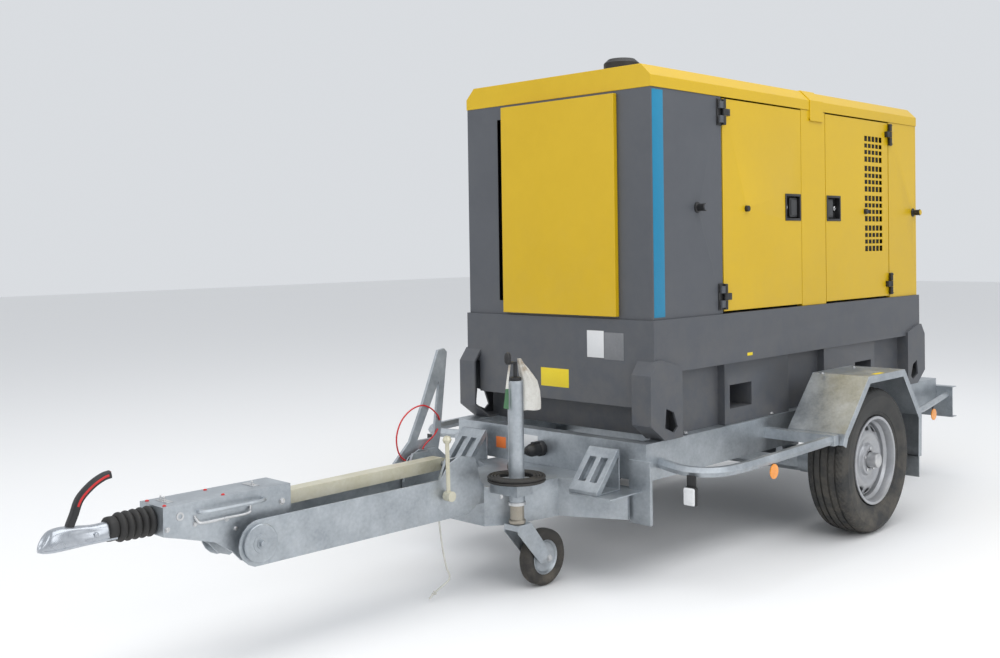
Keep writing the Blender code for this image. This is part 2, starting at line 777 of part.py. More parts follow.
PANEL_LEFT = -0.342       # the panel stops short of the outlet's far edge, where air leaves
PANEL_RIGHT = 0.279
PANEL_OUT = 0.023
front_panel = box(
    "front_panel",
    (FRONT - PANEL_OUT, PANEL_LEFT, DECK_Z + 0.010),
    (FRONT - GAP, PANEL_RIGHT, EAVES_Z - 0.012),
)
pan = box(
    "pan",
    (FRONT - PANEL_OUT + SHEET, PANEL_LEFT + SHEET, DECK_Z + 0.010 + SHEET),
    (FRONT + 0.100, PANEL_RIGHT - SHEET, EAVES_Z - 0.012 - SHEET),
)
finish(cut(front_panel, pan), yellow_paint)

CONTROL_HALF = 0.310
CONTROL_LOW = 1.180
CONTROL_TOP = 1.840
rear_wall = end_wall("rear_wall", REAR, HINGE_REAR + JAMB, 1)
window = box(
    "window", (REAR - 0.050, -CONTROL_HALF, CONTROL_LOW), (REAR + 0.050, CONTROL_HALF, CONTROL_TOP)
)
rear_wall = wall_hinges(cut(rear_wall, window), HINGE_REAR, 1, PEG_REACH["rear"])
finish(rear_wall, yellow_paint)

CONTROL_HINGE_X = REAR + 0.012
CONTROL_T = 0.020
control_door = box(
    "control_door",
    (REAR - CONTROL_T, DOOR_GAP - CONTROL_HALF, CONTROL_LOW + DOOR_GAP),
    (REAR - GAP, CONTROL_HALF - DOOR_GAP, CONTROL_TOP - DOOR_GAP),
)
control_leaf = box(
    "leaf", (REAR + CLEAR, CONTROL_HALF - 0.050, 1.300), (CONTROL_HINGE_X, CONTROL_HALF + 0.004, 1.720)
)
leaf_root = box(
    "leaf_root", (REAR - 0.004, CONTROL_HALF - 0.050, 1.300), (REAR + 0.004, CONTROL_HALF - 0.008, 1.720)
)
control_knuckle = round_bar(
    "control_knuckle", "z", (CONTROL_HINGE_X + GAP, CONTROL_HALF + 0.004, 1.510), 0.008, 0.420, 12
)
control_room = box(
    "control_room",
    (REAR - CONTROL_T - 0.010, DOOR_GAP + SHEET - CONTROL_HALF, CONTROL_LOW + DOOR_GAP + SHEET),
    (REAR - GAP - 0.0065, CONTROL_HALF - DOOR_GAP - 0.060, CONTROL_TOP - DOOR_GAP - SHEET),
)
control_door = join(cut(control_door, control_room), leaf_root, control_leaf, control_knuckle)
finish(control_door, yellow_paint, (CONTROL_HINGE_X, CONTROL_HALF + 0.004, 1.510))


def roof_section(inset):
    """The roof's section across the canopy, inset all round but open at the eaves."""
    half = CANOPY_HALF + 0.004 - inset
    low = EAVES_Z - (0.050 if inset else 0)
    slant = CHAMFER - inset * 0.4
    return [
        (-half, low),
        (half, low),
        (half, EAVES_Z + FASCIA - inset * 0.4),
        (half - slant, ROOF_Z - inset),
        (slant - half, ROOF_Z - inset),
        (-half, EAVES_Z + FASCIA - inset * 0.4),
    ]


HOOP_FRONT = AXLE_X + 0.028
HOOP_REAR = AXLE_X + 0.151
EXHAUST_X = AXLE_X - 0.840
EXHAUST_Y = -0.090
PIPE_R = 0.045
for name, start, end in (
    ("roof_front", FRONT - 0.002, HOOP_FRONT - GAP),
    ("roof_rear", HOOP_REAR + GAP, REAR + 0.002),
):
    roof = plate(name, "yz", [roof_section(0)], start, end)
    inside = plate("inside", "yz", [roof_section(SHEET)], start + SHEET, end - SHEET)
    roof = cut(roof, inside)
    if name == "roof_front":
        hole = round_bar("hole", "z", (EXHAUST_X, EXHAUST_Y, ROOF_Z), PIPE_R + CLEAR, 0.2)
        roof = cut(roof, hole)
    finish(roof, yellow_paint)

HOOP_T = 0.020
hoop_out = roof_section(-0.004)
hoop_in = roof_section(HOOP_T)
hoop_band = hoop_out[1:] + [hoop_out[0]]
hoop_inner = hoop_in[1:] + [hoop_in[0]]
hoop_top = hoop_band + [(hoop_inner[-1][0], EAVES_Z)] + hoop_inner[1:-1][::-1] + [(hoop_inner[0][0], EAVES_Z)]
centre_frame = plate("centre_frame", "yz", [hoop_top], HOOP_FRONT, HOOP_REAR)
for side in (-1, 1):
    y_low, y_high = sorted((side * (CANOPY_HALF - DOOR_T), side * CANOPY_HALF))
    column = box("column", (STRIP_FRONT, y_low, WALL_LOW), (STRIP_REAR, y_high, WALL_TOP))
    room_low, room_high = sorted((side * (CANOPY_HALF - DOOR_T - 0.010), side * (CANOPY_HALF - SHEET)))
    column_room = box(
        "column_room",
        (STRIP_FRONT + SHEET, room_low, WALL_LOW + SHEET),
        (STRIP_REAR - SHEET, room_high, EAVES_Z - 0.060),
    )
    column = cut(column, column_room)
    neck = box("neck", (HOOP_FRONT, y_low, EAVES_Z - 0.050), (HOOP_REAR, y_high, EAVES_Z + 0.010))
    centre_frame = join(centre_frame, column, neck)
finish(centre_frame, yellow_paint)

# doors, each hung at its end of the canopy and latched at the centre frame
DOOR_LOW_Z = DECK_Z + DOOR_LOW
DOOR_TOP_Z = EAVES_Z - 0.006
GRILLE_ROWS = 4
GRILLE_LOW = 1.250
GRILLE_PITCH = 0.150
for side, side_word in ((-1, "left"), (1, "right")):
    for hinge_x, free_x, end_word in (
        (HINGE_FRONT, STRIP_FRONT - DOOR_GAP, "front"),
        (HINGE_REAR, STRIP_REAR + DOOR_GAP, "rear"),
    ):
        toward = 1 if free_x > hinge_x else -1
        name = f"{side_word}_{end_word}_door"
        x_low, x_high = sorted((hinge_x + toward * 0.004, free_x))
        y_low, y_high = sorted((side * (CANOPY_HALF - DOOR_T), side * CANOPY_HALF))
        door = box(name, (x_low, y_low, DOOR_LOW_Z), (x_high, y_high, DOOR_TOP_Z))
        room_low, room_high = sorted((side * (CANOPY_HALF - DOOR_T - 0.010), side * (CANOPY_HALF - SHEET)))
        door_room = box(
            "door_room",
            (x_low + SHEET, room_low, DOOR_LOW_Z + SHEET),
            (x_high - SHEET, room_high, DOOR_TOP_Z - SHEET),
        )
        latch_x = free_x - toward * (0.010 + LATCH_W / 2)
        case_low, case_high = sorted((side * (CANOPY_HALF - DOOR_T), side * (CANOPY_HALF - 0.001)))
        latch_case = box(
            "latch_case",
            (latch_x - LATCH_W / 2 - SHEET, case_low, LATCH_Z - LATCH_H / 2 - SHEET),
            (latch_x + LATCH_W / 2 + SHEET, case_high, LATCH_Z + LATCH_H / 2 + SHEET),
        )
        recess = box(
            "recess",
            (latch_x - LATCH_W / 2, side * CANOPY_HALF - LATCH_DEPTH, LATCH_Z - LATCH_H / 2),
            (latch_x + LATCH_W / 2, side * CANOPY_HALF + LATCH_DEPTH, LATCH_Z + LATCH_H / 2),
        )
        cuts = [recess]
        if end_word == "rear":
            for column_number in range(5):
                slot_x = hinge_x + toward * (0.088 + 0.040 * column_number)
                for row in range(GRILLE_ROWS):
                    slot_z = GRILLE_LOW + GRILLE_PITCH * row
                    cuts.append(
                        box(
                            "grille_slot",
                            (slot_x - 0.016, y_low - 0.010, slot_z),
                            (slot_x + 0.016, y_high + 0.010, slot_z + GRILLE_PITCH - 0.020),
                        )
                    )
        door = cut(join(cut(door, door_room), latch_case), *cuts)
        third = HINGE_H / 3
        for middle in HINGE_ZS:
            door = join(
                door,
                knuckle(
                    "knuckle", hinge_x, side, middle - third / 2 + GAP, middle + third / 2 - 2 * GAP, toward
                ),
            )
        stud = round_bar(
            "stud",
            "y",
            (hinge_x + toward * STUD_REACH[end_word], side * (CANOPY_HALF + STUD_LEN / 2 - 0.002), PEG_Z),
            0.012,
            STUD_LEN + 0.004,
            8,
        )
        door = join(door, stud)
        finish(door, yellow_paint, (hinge_x, side * HINGE_LINE, PEG_Z))

        grip_x = latch_x + toward * LATCH_W * 0.16
        paddle_half = LATCH_W * 0.26
        paddle_in = CANOPY_HALF - LATCH_DEPTH + 0.006
        paddle_low, paddle_high = sorted((side * paddle_in, side * (paddle_in + 0.010)))
        paddle = box(
            f"{name}_latch",
            (grip_x - paddle_half, paddle_low, LATCH_Z - LATCH_H * 0.40),
            (grip_x + paddle_half, paddle_high, LATCH_Z + LATCH_H * 0.40),
        )
        finish(
            paddle,
            black_plastic,
            (grip_x + toward * paddle_half, side * (paddle_in + 0.005), LATCH_Z),
        )

# ---------------------------------------------------------------- inside the canopy
DECK = BEARER_TOP + GAP
ENGINE_FRONT = AXLE_X - 0.560
ENGINE_REAR = AXLE_X + 0.200
ENGINE_HALF = 0.165
engine_block = box(
    "engine_block", (ENGINE_FRONT, -ENGINE_HALF, 1.000), (ENGINE_REAR, ENGINE_HALF, 1.380)
)
engine_bits = [
    box("sump", (ENGINE_FRONT + 0.060, -0.120, 0.900), (ENGINE_REAR - 0.100, 0.120, 1.010)),
    box("head", (ENGINE_FRONT + 0.030, -0.110, 1.370), (ENGINE_REAR - 0.050, 0.110, 1.500)),
    box("rocker_cover", (ENGINE_FRONT + 0.050, -0.075, 1.490), (ENGINE_REAR - 0.070, 0.075, 1.560)),
    round_bar("flywheel_housing", "x", (ENGINE_REAR - 0.030, 0, 1.150), 0.230, 0.100, 20),
    box("front_feet", (ENGINE_FRONT + 0.080, -0.250, DECK), (ENGINE_FRONT + 0.150, 0.250, 1.020)),
    box("rear_feet", (ENGINE_REAR - 0.080, -0.250, DECK), (ENGINE_REAR - 0.030, 0.250, 1.020)),
    box("manifold", (ENGINE_FRONT + 0.080, 0.100, 1.390), (ENGINE_REAR - 0.120, 0.200, 1.450)),
    round_bar("oil_filter", "z", (ENGINE_FRONT + 0.250, -0.205, 1.090), 0.045, 0.150, 12),
    round_bar("water_pump", "x", (ENGINE_FRONT - 0.030, 0, 1.270), 0.035, 0.080, 14),
]
engine_block = join(engine_block, *engine_bits)
finish(engine_block, engine_paint)

ALTERNATOR_REAR = ENGINE_REAR + 0.620
alternator_front = ENGINE_REAR + 0.021
alternator = round_bar(
    "alternator",
    "x",
    ((alternator_front + ALTERNATOR_REAR) / 2, 0, 1.150),
    0.205,
    ALTERNATOR_REAR - alternator_front,
    20,
)
terminal_box = box(
    "terminal_box", (ENGINE_REAR + 0.280, -0.150, 1.300), (ENGINE_REAR + 0.560, 0.150, 1.460)
)
alternator_feet = box(
    "alternator_feet", (ENGINE_REAR + 0.250, -0.250, DECK), (ENGINE_REAR + 0.400, 0.250, 0.990)
)
finish(join(alternator, terminal_box, alternator_feet), engine_paint)

RADIATOR_X = FRONT + 0.170
FAN_Z = 1.270
FAN_R = CANOPY_HALF - 0.2375         # the fan fills what the canopy's width leaves
RADIATOR_HALF = CANOPY_HALF - 0.1475
radiator = box(
    "radiator", (RADIATOR_X, -RADIATOR_HALF, DECK), (RADIATOR_X + 0.090, RADIATOR_HALF, 1.780)
)
cowl = round_bar("cowl", "x", (RADIATOR_X + 0.130, 0, FAN_Z), FAN_R + 0.026, 0.110, 20)
cowl_bore = round_bar("cowl_bore", "x", (RADIATOR_X + 0.150, 0, FAN_Z), FAN_R + 0.014, 0.110, 20)
finish(cut(join(radiator, cowl), cowl_bore), engine_paint)

fan_x = RADIATOR_X + 0.150
cooling_fan = round_bar(
    "cooling_fan", "x", (fan_x, 0, FAN_Z), 0.060, 0.060, 14
)
for number in range(7):
    blade = box("blade", (-0.004, -0.045, 0.040), (0.004, 0.045, FAN_R))
    blade.data.transform(
        Matrix.Translation((fan_x, 0, FAN_Z))
        @ Matrix.Rotation(2 * math.pi * number / 7, 4, "X")
        @ Matrix.Rotation(math.radians(28), 4, "Z")
    )
    cooling_fan = join(cooling_fan, blade)
finish(cooling_fan, black_plastic, (fan_x, 0, FAN_Z))

MUFFLER_R = 0.095
MUFFLER_Z = 1.770
muffler = round_bar(
    "muffler", "x", (EXHAUST_X + 0.330, EXHAUST_Y, MUFFLER_Z), MUFFLER_R, 0.760, 16
)
muffler_room = round_bar(
    "muffler_room", "x", (EXHAUST_X + 0.330, EXHAUST_Y, MUFFLER_Z), MUFFLER_R - 0.004, 0.752, 16
)
inlet = round_bar("inlet", "x", (EXHAUST_X + 0.700, EXHAUST_Y, MUFFLER_Z), 0.035, 0.100, 12)
muffler = cut(muffler, join(muffler_room, inlet))
PIPE_TOP = ROOF_Z + 0.050
pipe = turned(
    "pipe",
    [
        (PIPE_R, PIPE_TOP),
        (PIPE_R, MUFFLER_Z + 0.070),
        (PIPE_R - 0.004, MUFFLER_Z + 0.070),
        (PIPE_R - 0.004, PIPE_TOP),
    ],
    (EXHAUST_X, EXHAUST_Y, 0),
    steps=16,
)
finish(join(muffler, pipe), exhaust_steel)

FLAP_R = 0.078
FLAP_TOP = ROOF_Z + 0.100
FLAP_HINGE_X = EXHAUST_X + FLAP_R + 0.006
exhaust_flap = turned(
    "exhaust_flap",
    [
        (0.0, FLAP_TOP),
        (FLAP_R - 0.020, FLAP_TOP),
        (FLAP_R, FLAP_TOP - 0.018),
        (FLAP_R, ROOF_Z + 0.020),
        (FLAP_R - 0.004, ROOF_Z + 0.020),
        (FLAP_R - 0.004, PIPE_TOP + 0.006),
        (0.0, PIPE_TOP + 0.006),
    ],
    (EXHAUST_X, EXHAUST_Y, 0),
    steps=20,
)
tail = box(
    "tail",
    (EXHAUST_X + FLAP_R - 0.006, EXHAUST_Y - 0.030, PIPE_TOP - 0.006),
    (EXHAUST_X + FLAP_R + 0.045, EXHAUST_Y + 0.030, PIPE_TOP + 0.010),
)
finish(join(exhaust_flap, tail), black_plastic, (FLAP_HINGE_X, EXHAUST_Y, PIPE_TOP))

BATTERY_SIDE = 0.0625     # battery to the canopy's side
BATTERY = Vector((FRONT + 0.330, CANOPY_HALF - BATTERY_SIDE - 0.170, DECK))
battery = box("battery", BATTERY, BATTERY + Vector((0.250, 0.170, 0.190)))
for post_x in (0.050, 0.200):
    post = BATTERY + Vector((post_x, 0.040, 0.192))
    battery = join(battery, round_bar("post", "z", post, 0.009, 0.025, 8))
finish(battery, black_plastic)

CUBICLE_X = REAR - 0.170
cubicle_back = REAR - CONTROL_T - 0.030
control_cubicle = box(
    "control_cubicle", (CUBICLE_X, -0.290, CONTROL_LOW + 0.010), (cubicle_back, 0.290, CONTROL_TOP - 0.010)
)
cubicle_room = box(
    "cubicle_room",
    (CUBICLE_X - 0.010, SHEET - 0.290, CONTROL_LOW + 0.010 + SHEET),
    (cubicle_back - SHEET, 0.290 - SHEET, CONTROL_TOP - 0.010 - SHEET),
)
control_cubicle = cut(control_cubicle, cubicle_room)
for side in (-1, 1):
    bracket = box(
        "cubicle_bracket",
        (cubicle_back - 0.020, min(side * 0.280, side * 0.360), CONTROL_LOW + 0.200),
        (REAR - SHEET - GAP, max(side * 0.280, side * 0.360), CONTROL_TOP - 0.200),
    )
    lug_room = box(
        "lug_room",
        (cubicle_back, min(side * 0.200, side * 0.330), CONTROL_LOW),
        (REAR + 0.010, max(side * 0.200, side * 0.330), CONTROL_TOP),
    )
    control_cubicle = join(control_cubicle, cut(bracket, lug_room))
STOP_Y = -0.180
STOP_Z = 1.360
STOP_BORE = 0.0115
stop_seat = round_bar(
    "stop_seat", "x", (cubicle_back - 0.010, STOP_Y, STOP_Z), STOP_BORE + CLEAR / 4, 0.060, 16
)
control_cubicle = cut(control_cubicle, stop_seat)
finish(control_cubicle, grey_paint)
stop_button = round_bar("stop_button", "x", (cubicle_back + 0.012, STOP_Y, STOP_Z), 0.020, 0.012, 16)
stem = round_bar("stem", "x", (cubicle_back - 0.006, STOP_Y, STOP_Z), STOP_BORE, 0.030, 16)
finish(join(stop_button, stem), red_plastic, (cubicle_back, STOP_Y, STOP_Z))

# ---------------------------------------------------------------- towbar
def towbar(point):
    """A point given from the axle line and the ground, in the trailer's frame."""
    return (from_axle(point[0]), point[1])


arm_rear = towbar(ARM_REAR)
arm_front = towbar(ARM_FRONT)
link_rear = (arm_rear[0] + LINK_RISE[0], arm_rear[1] + LINK_RISE[1])
link_front = (arm_front[0] + LINK_RISE[0], arm_front[1] + LINK_RISE[1])
NOSE_HALF = 0.098
NOSE_REAR = from_axle(-1.730)
NOSE_FRONT = from_axle(-1.970)
BASE_TOP = FRAME_LOW - GAP
BASE_BOTTOM = 0.240
base_outline = [
    (NOSE_REAR, -NOSE_HALF),
    (from_axle(-1.640), -0.160),
    (from_axle(-1.420), -0.200),
    (from_axle(-1.300), -0.450),
    (from_axle(-1.220), -0.450),
    (from_axle(-1.220), 0.450),
    (from_axle(-1.300), 0.450),
    (from_axle(-1.420), 0.200),
    (from_axle(-1.640), 0.160),
    (NOSE_REAR, NOSE_HALF),
]
drawbar_base = plate("drawbar_base", "xy", [base_outline], BASE_BOTTOM, BASE_TOP)
rooms = []
for side in (-1, 1):
    y_low, y_high = sorted((side * 0.290, side * 0.600))
    shelf_room = box(
        "shelf_room",
        (from_axle(-1.480), y_low, CHOCK_SHELF - SHELF_T - 0.002),
        (from_axle(-1.200), y_high, BASE_TOP + 0.010),
    )
    y_low, y_high = sorted((side * 0.430, side * 0.560))
    leg_room = box(
        "leg_room", (from_axle(-1.290), y_low, 0.200), (from_axle(-1.200), y_high, BASE_TOP + 0.010)
    )
    rooms += [shelf_room, leg_room]
belly = plate(
    "belly",
    "xy",
    [
        [
            (from_axle(-1.700), -0.100),
            (from_axle(-1.630), -0.150),
            (from_axle(-1.425), -0.190),
            (from_axle(-1.305), -0.420),
            (from_axle(-1.305), 0.420),
            (from_axle(-1.425), 0.190),
            (from_axle(-1.630), 0.150),
            (from_axle(-1.700), 0.100),
        ]
    ],
    BASE_BOTTOM - 0.050,
    BASE_TOP - 0.006,
)
drawbar_base = cut(drawbar_base, *rooms, belly)
nose = box("nose", (NOSE_FRONT, -NOSE_HALF, 0.330), (NOSE_REAR + 0.020, NOSE_HALF, BASE_TOP))
base_bits = [nose]
for side in (-1, 1):
    low, high = sorted((side * (NOSE_HALF - 0.012), side * NOSE_HALF))
    ear = [
        (NOSE_FRONT, 0.340),
        (NOSE_FRONT, arm_rear[1] + 0.030),
        (link_rear[0] - 0.045, link_rear[1] + 0.030),
        (link_rear[0] + 0.035, link_rear[1] + 0.030),
        (NOSE_REAR, 0.400),
        (NOSE_REAR, 0.340),
    ]
    base_bits.append(plate("ear", "xz", [ear], low, high))
link_pin = round_bar(
    "link_pin", "y", (link_rear[0], 0, link_rear[1]), PIN_R, 2 * NOSE_HALF - 0.004, 12
)
base_bits.append(link_pin)
CLAMP_LOW = 0.370
CLAMP_TOP = 0.410
jockey_x = from_axle(JOCKEY_X)
clamp_bracket = plate(
    "clamp_bracket",
    "xy",
    [
        rectangle(jockey_x - 0.042, JOCKEY_Y - 0.042, jockey_x + 0.042, -ARM_HALF - 0.006),
        arc((jockey_x, JOCKEY_Y), JOCKEY_TUBE_R + GAP, 0, 337.5, 15),
    ],
    CLAMP_LOW,
    CLAMP_TOP,
)
base_bits.append(clamp_bracket)
BRAKE_PIVOT = towbar((-1.800, 0.500))
BRAKE_Y = ARM_HALF + 0.007
brake_bracket = plate(
    "brake_bracket",
    "xz",
    [
        [
            (from_axle(-1.720), 0.330),
            (from_axle(-1.600), 0.330),
            (from_axle(-1.600), 0.380),
            (BRAKE_PIVOT[0] + 0.030, BRAKE_PIVOT[1] + 0.025),
            (BRAKE_PIVOT[0] - 0.030, BRAKE_PIVOT[1] + 0.025),
            (BRAKE_PIVOT[0] - 0.030, BRAKE_PIVOT[1] - 0.025),
        ]
    ],
    BRAKE_Y,
    BRAKE_Y + 0.008,
)
brake_pin = round_bar(
    "brake_pin", "y", (BRAKE_PIVOT[0], BRAKE_Y + 0.015, BRAKE_PIVOT[1]), 0.008, 0.026, 12
)
base_bits += [brake_bracket, brake_pin]
drawbar_base = join(drawbar_base, *base_bits)
arm_pin_room = round_bar("arm_pin_room", "y", (arm_rear[0], 0, arm_rear[1]), PIN_R + 0.0005, 0.4, 16)
drawbar_base = cut(drawbar_base, arm_pin_room)
finish(drawbar_base, zinc)

arm_in = ARM_HALF - ARM_T
arm_outline = [
    (arm_front[0], arm_front[1] + DISC_R + 0.004),
    (from_axle(-1.965), 0.458),
    (from_axle(-1.925), 0.508),
    (from_axle(-1.870), 0.531),
    (from_axle(-1.790), 0.515),
    (from_axle(-1.757), 0.400),
    (from_axle(-1.767), 0.345),
    (from_axle(-1.830), 0.308),
    (arm_front[0], arm_front[1] - DISC_R - 0.002),
] + arc(arm_front, DISC_R + 0.004, 255, 105, 8)
arm_sides = []
for side in (-1, 1):
    low, high = sorted((side * arm_in, side * ARM_HALF))
    arm_sides.append(plate("arm_side", "xz", [arm_outline], low, high))
    boss_y = side * (ARM_HALF + 0.004)
    boss = round_bar("boss", "y", (arm_front[0], boss_y, arm_front[1]), DISC_R - 0.010, 0.012, 16)
    arm_sides.append(boss)
arm_floor = box(
    "drawbar_arm",
    (from_axle(-2.640), 0.002 - ARM_HALF, 0.3175),
    (from_axle(-2.020), ARM_HALF - 0.002, 0.3235),
)
arm_pins = [
    round_bar("arm_pin", "y", (x, 0, z), PIN_R, 2 * ARM_HALF - 0.004, 14) for x, z in (arm_rear, arm_front)
]
drawbar_arm = join(arm_floor, *arm_sides, *arm_pins)
finish(drawbar_arm, zinc, (arm_rear[0], 0, arm_rear[1]))

link_outline = arc(link_front, LINK_H / 2, 90, 270, 6) + arc(link_rear, LINK_H / 2, -90, 90, 6)
height_link = plate(
    "height_link",
    "xz",
    [
        link_outline,
        arc(link_rear, PIN_R + 0.0005, 0, 345, 15),
        arc(link_front, PIN_R + 0.003, 0, 345, 15),
    ],
    -LINK_HALF,
    LINK_HALF,
)
finish(height_link, cream_zinc, (link_rear[0], 0, link_rear[1]))

HOUSING_FRONT = from_axle(-3.045)
HOUSING_REAR = from_axle(-2.590)
HOUSING_TOP = 0.543
housing_outline = [
    (HOUSING_FRONT, HOUSING_TOP),
    (HOUSING_FRONT, 0.455),
    (from_axle(-2.990), 0.440),
    (from_axle(-2.870), 0.405),
    (from_axle(-2.812), arm_front[1] - 0.020),
    (from_axle(-2.780), arm_front[1] - 0.055),
    (arm_front[0], arm_front[1] - DISC_R),
    (arm_front[0] + 0.050, arm_front[1] - 0.045),
    (HOUSING_REAR, 0.457),
    (HOUSING_REAR, HOUSING_TOP),
]
overrun_housing = plate("overrun_housing", "xz", [housing_outline], -HOUSING_HALF, HOUSING_HALF)
housing_room = box(
    "housing_room",
    (HOUSING_FRONT + 0.060, 0.008 - HOUSING_HALF, 0.200),
    (HOUSING_REAR + 0.100, HOUSING_HALF - 0.008, HOUSING_TOP - 0.006),
)
draw_bore = round_bar("draw_bore", "x", (HOUSING_FRONT, 0, DRAW_Z), DRAW_R + 0.0006, 0.3, 16)
pin_room = round_bar("pin_room", "y", (arm_front[0], 0, arm_front[1]), PIN_R + 0.0005, 0.4, 16)
overrun_housing = cut(overrun_housing, housing_room, draw_bore, pin_room)
front_link_pin = round_bar(
    "front_link_pin",
    "y",
    (link_front[0], 0, link_front[1]),
    PIN_R - 0.001,
    2 * HOUSING_HALF - 0.004,
    12,
)
grab = tube(
    "grab",
    smooth_route(
        [
            (from_axle(-2.930), 0.004 - HOUSING_HALF, 0.512),
            (from_axle(-2.925), -HOUSING_HALF - 0.022, 0.512),
            (from_axle(-2.880), -HOUSING_HALF - 0.030, 0.512),
            (from_axle(-2.750), -HOUSING_HALF - 0.030, 0.512),
            (from_axle(-2.705), -HOUSING_HALF - 0.022, 0.512),
            (from_axle(-2.700), 0.004 - HOUSING_HALF, 0.512),
        ],
        16,
    ),
    0.0065,
    1,
)
finish(join(overrun_housing, front_link_pin, grab), zinc, (arm_front[0], 0, arm_front[1]))

TIP_X = from_axle(-TOWBAR_REACH)
CUP_R = 0.037
cup_x = TIP_X + CUP_R
DRAW_REAR = from_axle(-2.860)
NECK_X = from_axle(-3.168)
coupling_head = turned(
    "coupling_head",
    [
        (0.0, DRAW_Z + 0.040),
        (0.022, DRAW_Z + 0.034),
        (CUP_R, DRAW_Z + 0.014),
        (CUP_R, DRAW_Z - 0.027),
        (0.0, DRAW_Z - 0.027),
    ],
    (cup_x, 0, 0),
    steps=20,
)
web = plate(
    "web",
    "xy",
    [
        [
            (cup_x, -0.034),
            (NECK_X - 0.060, -0.024),
            (NECK_X, -0.030),
            (NECK_X, 0.030),
            (NECK_X - 0.060, 0.024),
            (cup_x, 0.034),
        ]
    ],
    DRAW_Z - 0.018,
    DRAW_Z + 0.030,
)
draw_front = NECK_X - 0.020
draw_tube = round_bar(
    "draw_tube", "x", ((draw_front + DRAW_REAR) / 2, 0, DRAW_Z), DRAW_R, DRAW_REAR - draw_front, 16
)
collar = round_bar("collar", "x", (NECK_X - 0.008, 0, DRAW_Z), 0.036, 0.030, 16)
coupling_head = join(coupling_head, web, draw_tube, collar)
ball_room = round_bar("ball_room", "z", (cup_x, 0, DRAW_Z - 0.018), BALL_R, 0.060, 20)
coupling_head = cut(coupling_head, ball_room)
finish(coupling_head, zinc, (NECK_X, 0, DRAW_Z))

BELLOWS_FRONT = NECK_X + 0.007 + GAP
bellows_rear = HOUSING_FRONT - GAP
bellows_len = bellows_rear - BELLOWS_FRONT
FOLDS = 5
bellows_profile = []
for fold in range(FOLDS):
    start = fold / FOLDS
    bellows_profile.append((BELLOWS_R - 0.011, bellows_len * (1 - start)))
    bellows_profile.append((BELLOWS_R, bellows_len * (1 - start - 0.5 / FOLDS)))
bellows_profile += [(BELLOWS_R - 0.011, 0.0), (DRAW_R + CLEAR, 0.0), (DRAW_R + CLEAR, bellows_len)]
bellows = turned("bellows", bellows_profile, (BELLOWS_FRONT, 0, DRAW_Z), "x", 12)
finish(bellows, black_rubber)

HANDLE_PIVOT = towbar((-3.285, 0.546))
handle_run = [
    (HANDLE_PIVOT[0] - 0.018, HANDLE_PIVOT[1] - 0.006),
    (HANDLE_PIVOT[0] + 0.004, HANDLE_PIVOT[1] + 0.044),
    (HANDLE_PIVOT[0] + 0.040, HANDLE_PIVOT[1] + 0.084),
    (HANDLE_PIVOT[0] + 0.082, HANDLE_PIVOT[1] + 0.110),
    (HANDLE_PIVOT[0] + 0.112, HANDLE_PIVOT[1] + 0.120),
]
coupling_handle = plate("coupling_handle", "xz", [band(handle_run, -0.024)], -0.014, 0.014)
finish(coupling_handle, black_plastic, (HANDLE_PIVOT[0], 0, HANDLE_PIVOT[1]))

lever_low = BRAKE_Y + 0.010
brake_outline = [
    towbar((-1.980, 0.486)),
    towbar((-1.760, 0.474)),
    towbar((-1.740, 0.560)),
    towbar((-1.697, 0.890)),
    towbar((-1.712, 0.905)),
    towbar((-1.745, 0.900)),
    towbar((-1.830, 0.700)),
    towbar((-1.900, 0.560)),
]
brake_slot = [towbar((-1.860, 0.560)), towbar((-1.775, 0.560)), towbar((-1.742, 0.780))]
handbrake_lever = plate(
    "handbrake_lever",
    "xz",
    [brake_outline, brake_slot, arc(BRAKE_PIVOT, 0.0085, 0, 330, 11)],
    lever_low,
    lever_low + 0.012,
)
finish(handbrake_lever, zinc, (BRAKE_PIVOT[0], lever_low + 0.006, BRAKE_PIVOT[1]))

LOCK_Y = -ARM_HALF - 0.010 - CLEAR
lock_hub = round_bar("height_lock_lever", "y", (arm_rear[0] - 0.036, LOCK_Y - 0.016, 0.400), 0.019, 0.032, 12)
rod = tube(
    "rod",
    [(arm_rear[0] - 0.040, LOCK_Y - 0.016, 0.405), (arm_rear[0] - 0.047, LOCK_Y - 0.020, 0.600)],
    0.008,
    1,
)
knob = turned(
    "knob",
    [(0.0, 0.016), (0.012, 0.012), (0.017, 0.0), (0.012, -0.012), (0.0, -0.016)],
    (arm_rear[0] - 0.047, LOCK_Y - 0.020, 0.607),
    steps=12,
)
finish(join(lock_hub, rod, knob), cream_zinc, (arm_rear[0] - 0.036, LOCK_Y, 0.400))

# ---------------------------------------------------------------- jockey wheel
tube_in = JOCKEY_TUBE_R - JOCKEY_WALL
jockey_tube = turned(
    "jockey_tube",
    [
        (JOCKEY_TUBE_R, JOCKEY_TOP),
        (JOCKEY_TUBE_R, JOCKEY_LOW),
        (tube_in, JOCKEY_LOW),
        (tube_in, JOCKEY_TOP - 0.006),
        (0.010, JOCKEY_TOP - 0.006),
        (0.010, JOCKEY_TOP),
    ],
    (jockey_x, JOCKEY_Y, 0),
    steps=16,
)
finish(jockey_tube, zinc)

INNER_R = tube_in - 0.0008
INNER_LOW = 0.262
INNER_TOP = 0.640
jockey_inner = round_bar(
    "jockey_inner",
    "z",
    (jockey_x, JOCKEY_Y, (INNER_LOW + INNER_TOP) / 2),
    INNER_R,
    INNER_TOP - INNER_LOW,
    16,
)
finish(jockey_inner, bright_steel, (jockey_x, JOCKEY_Y, INNER_LOW))

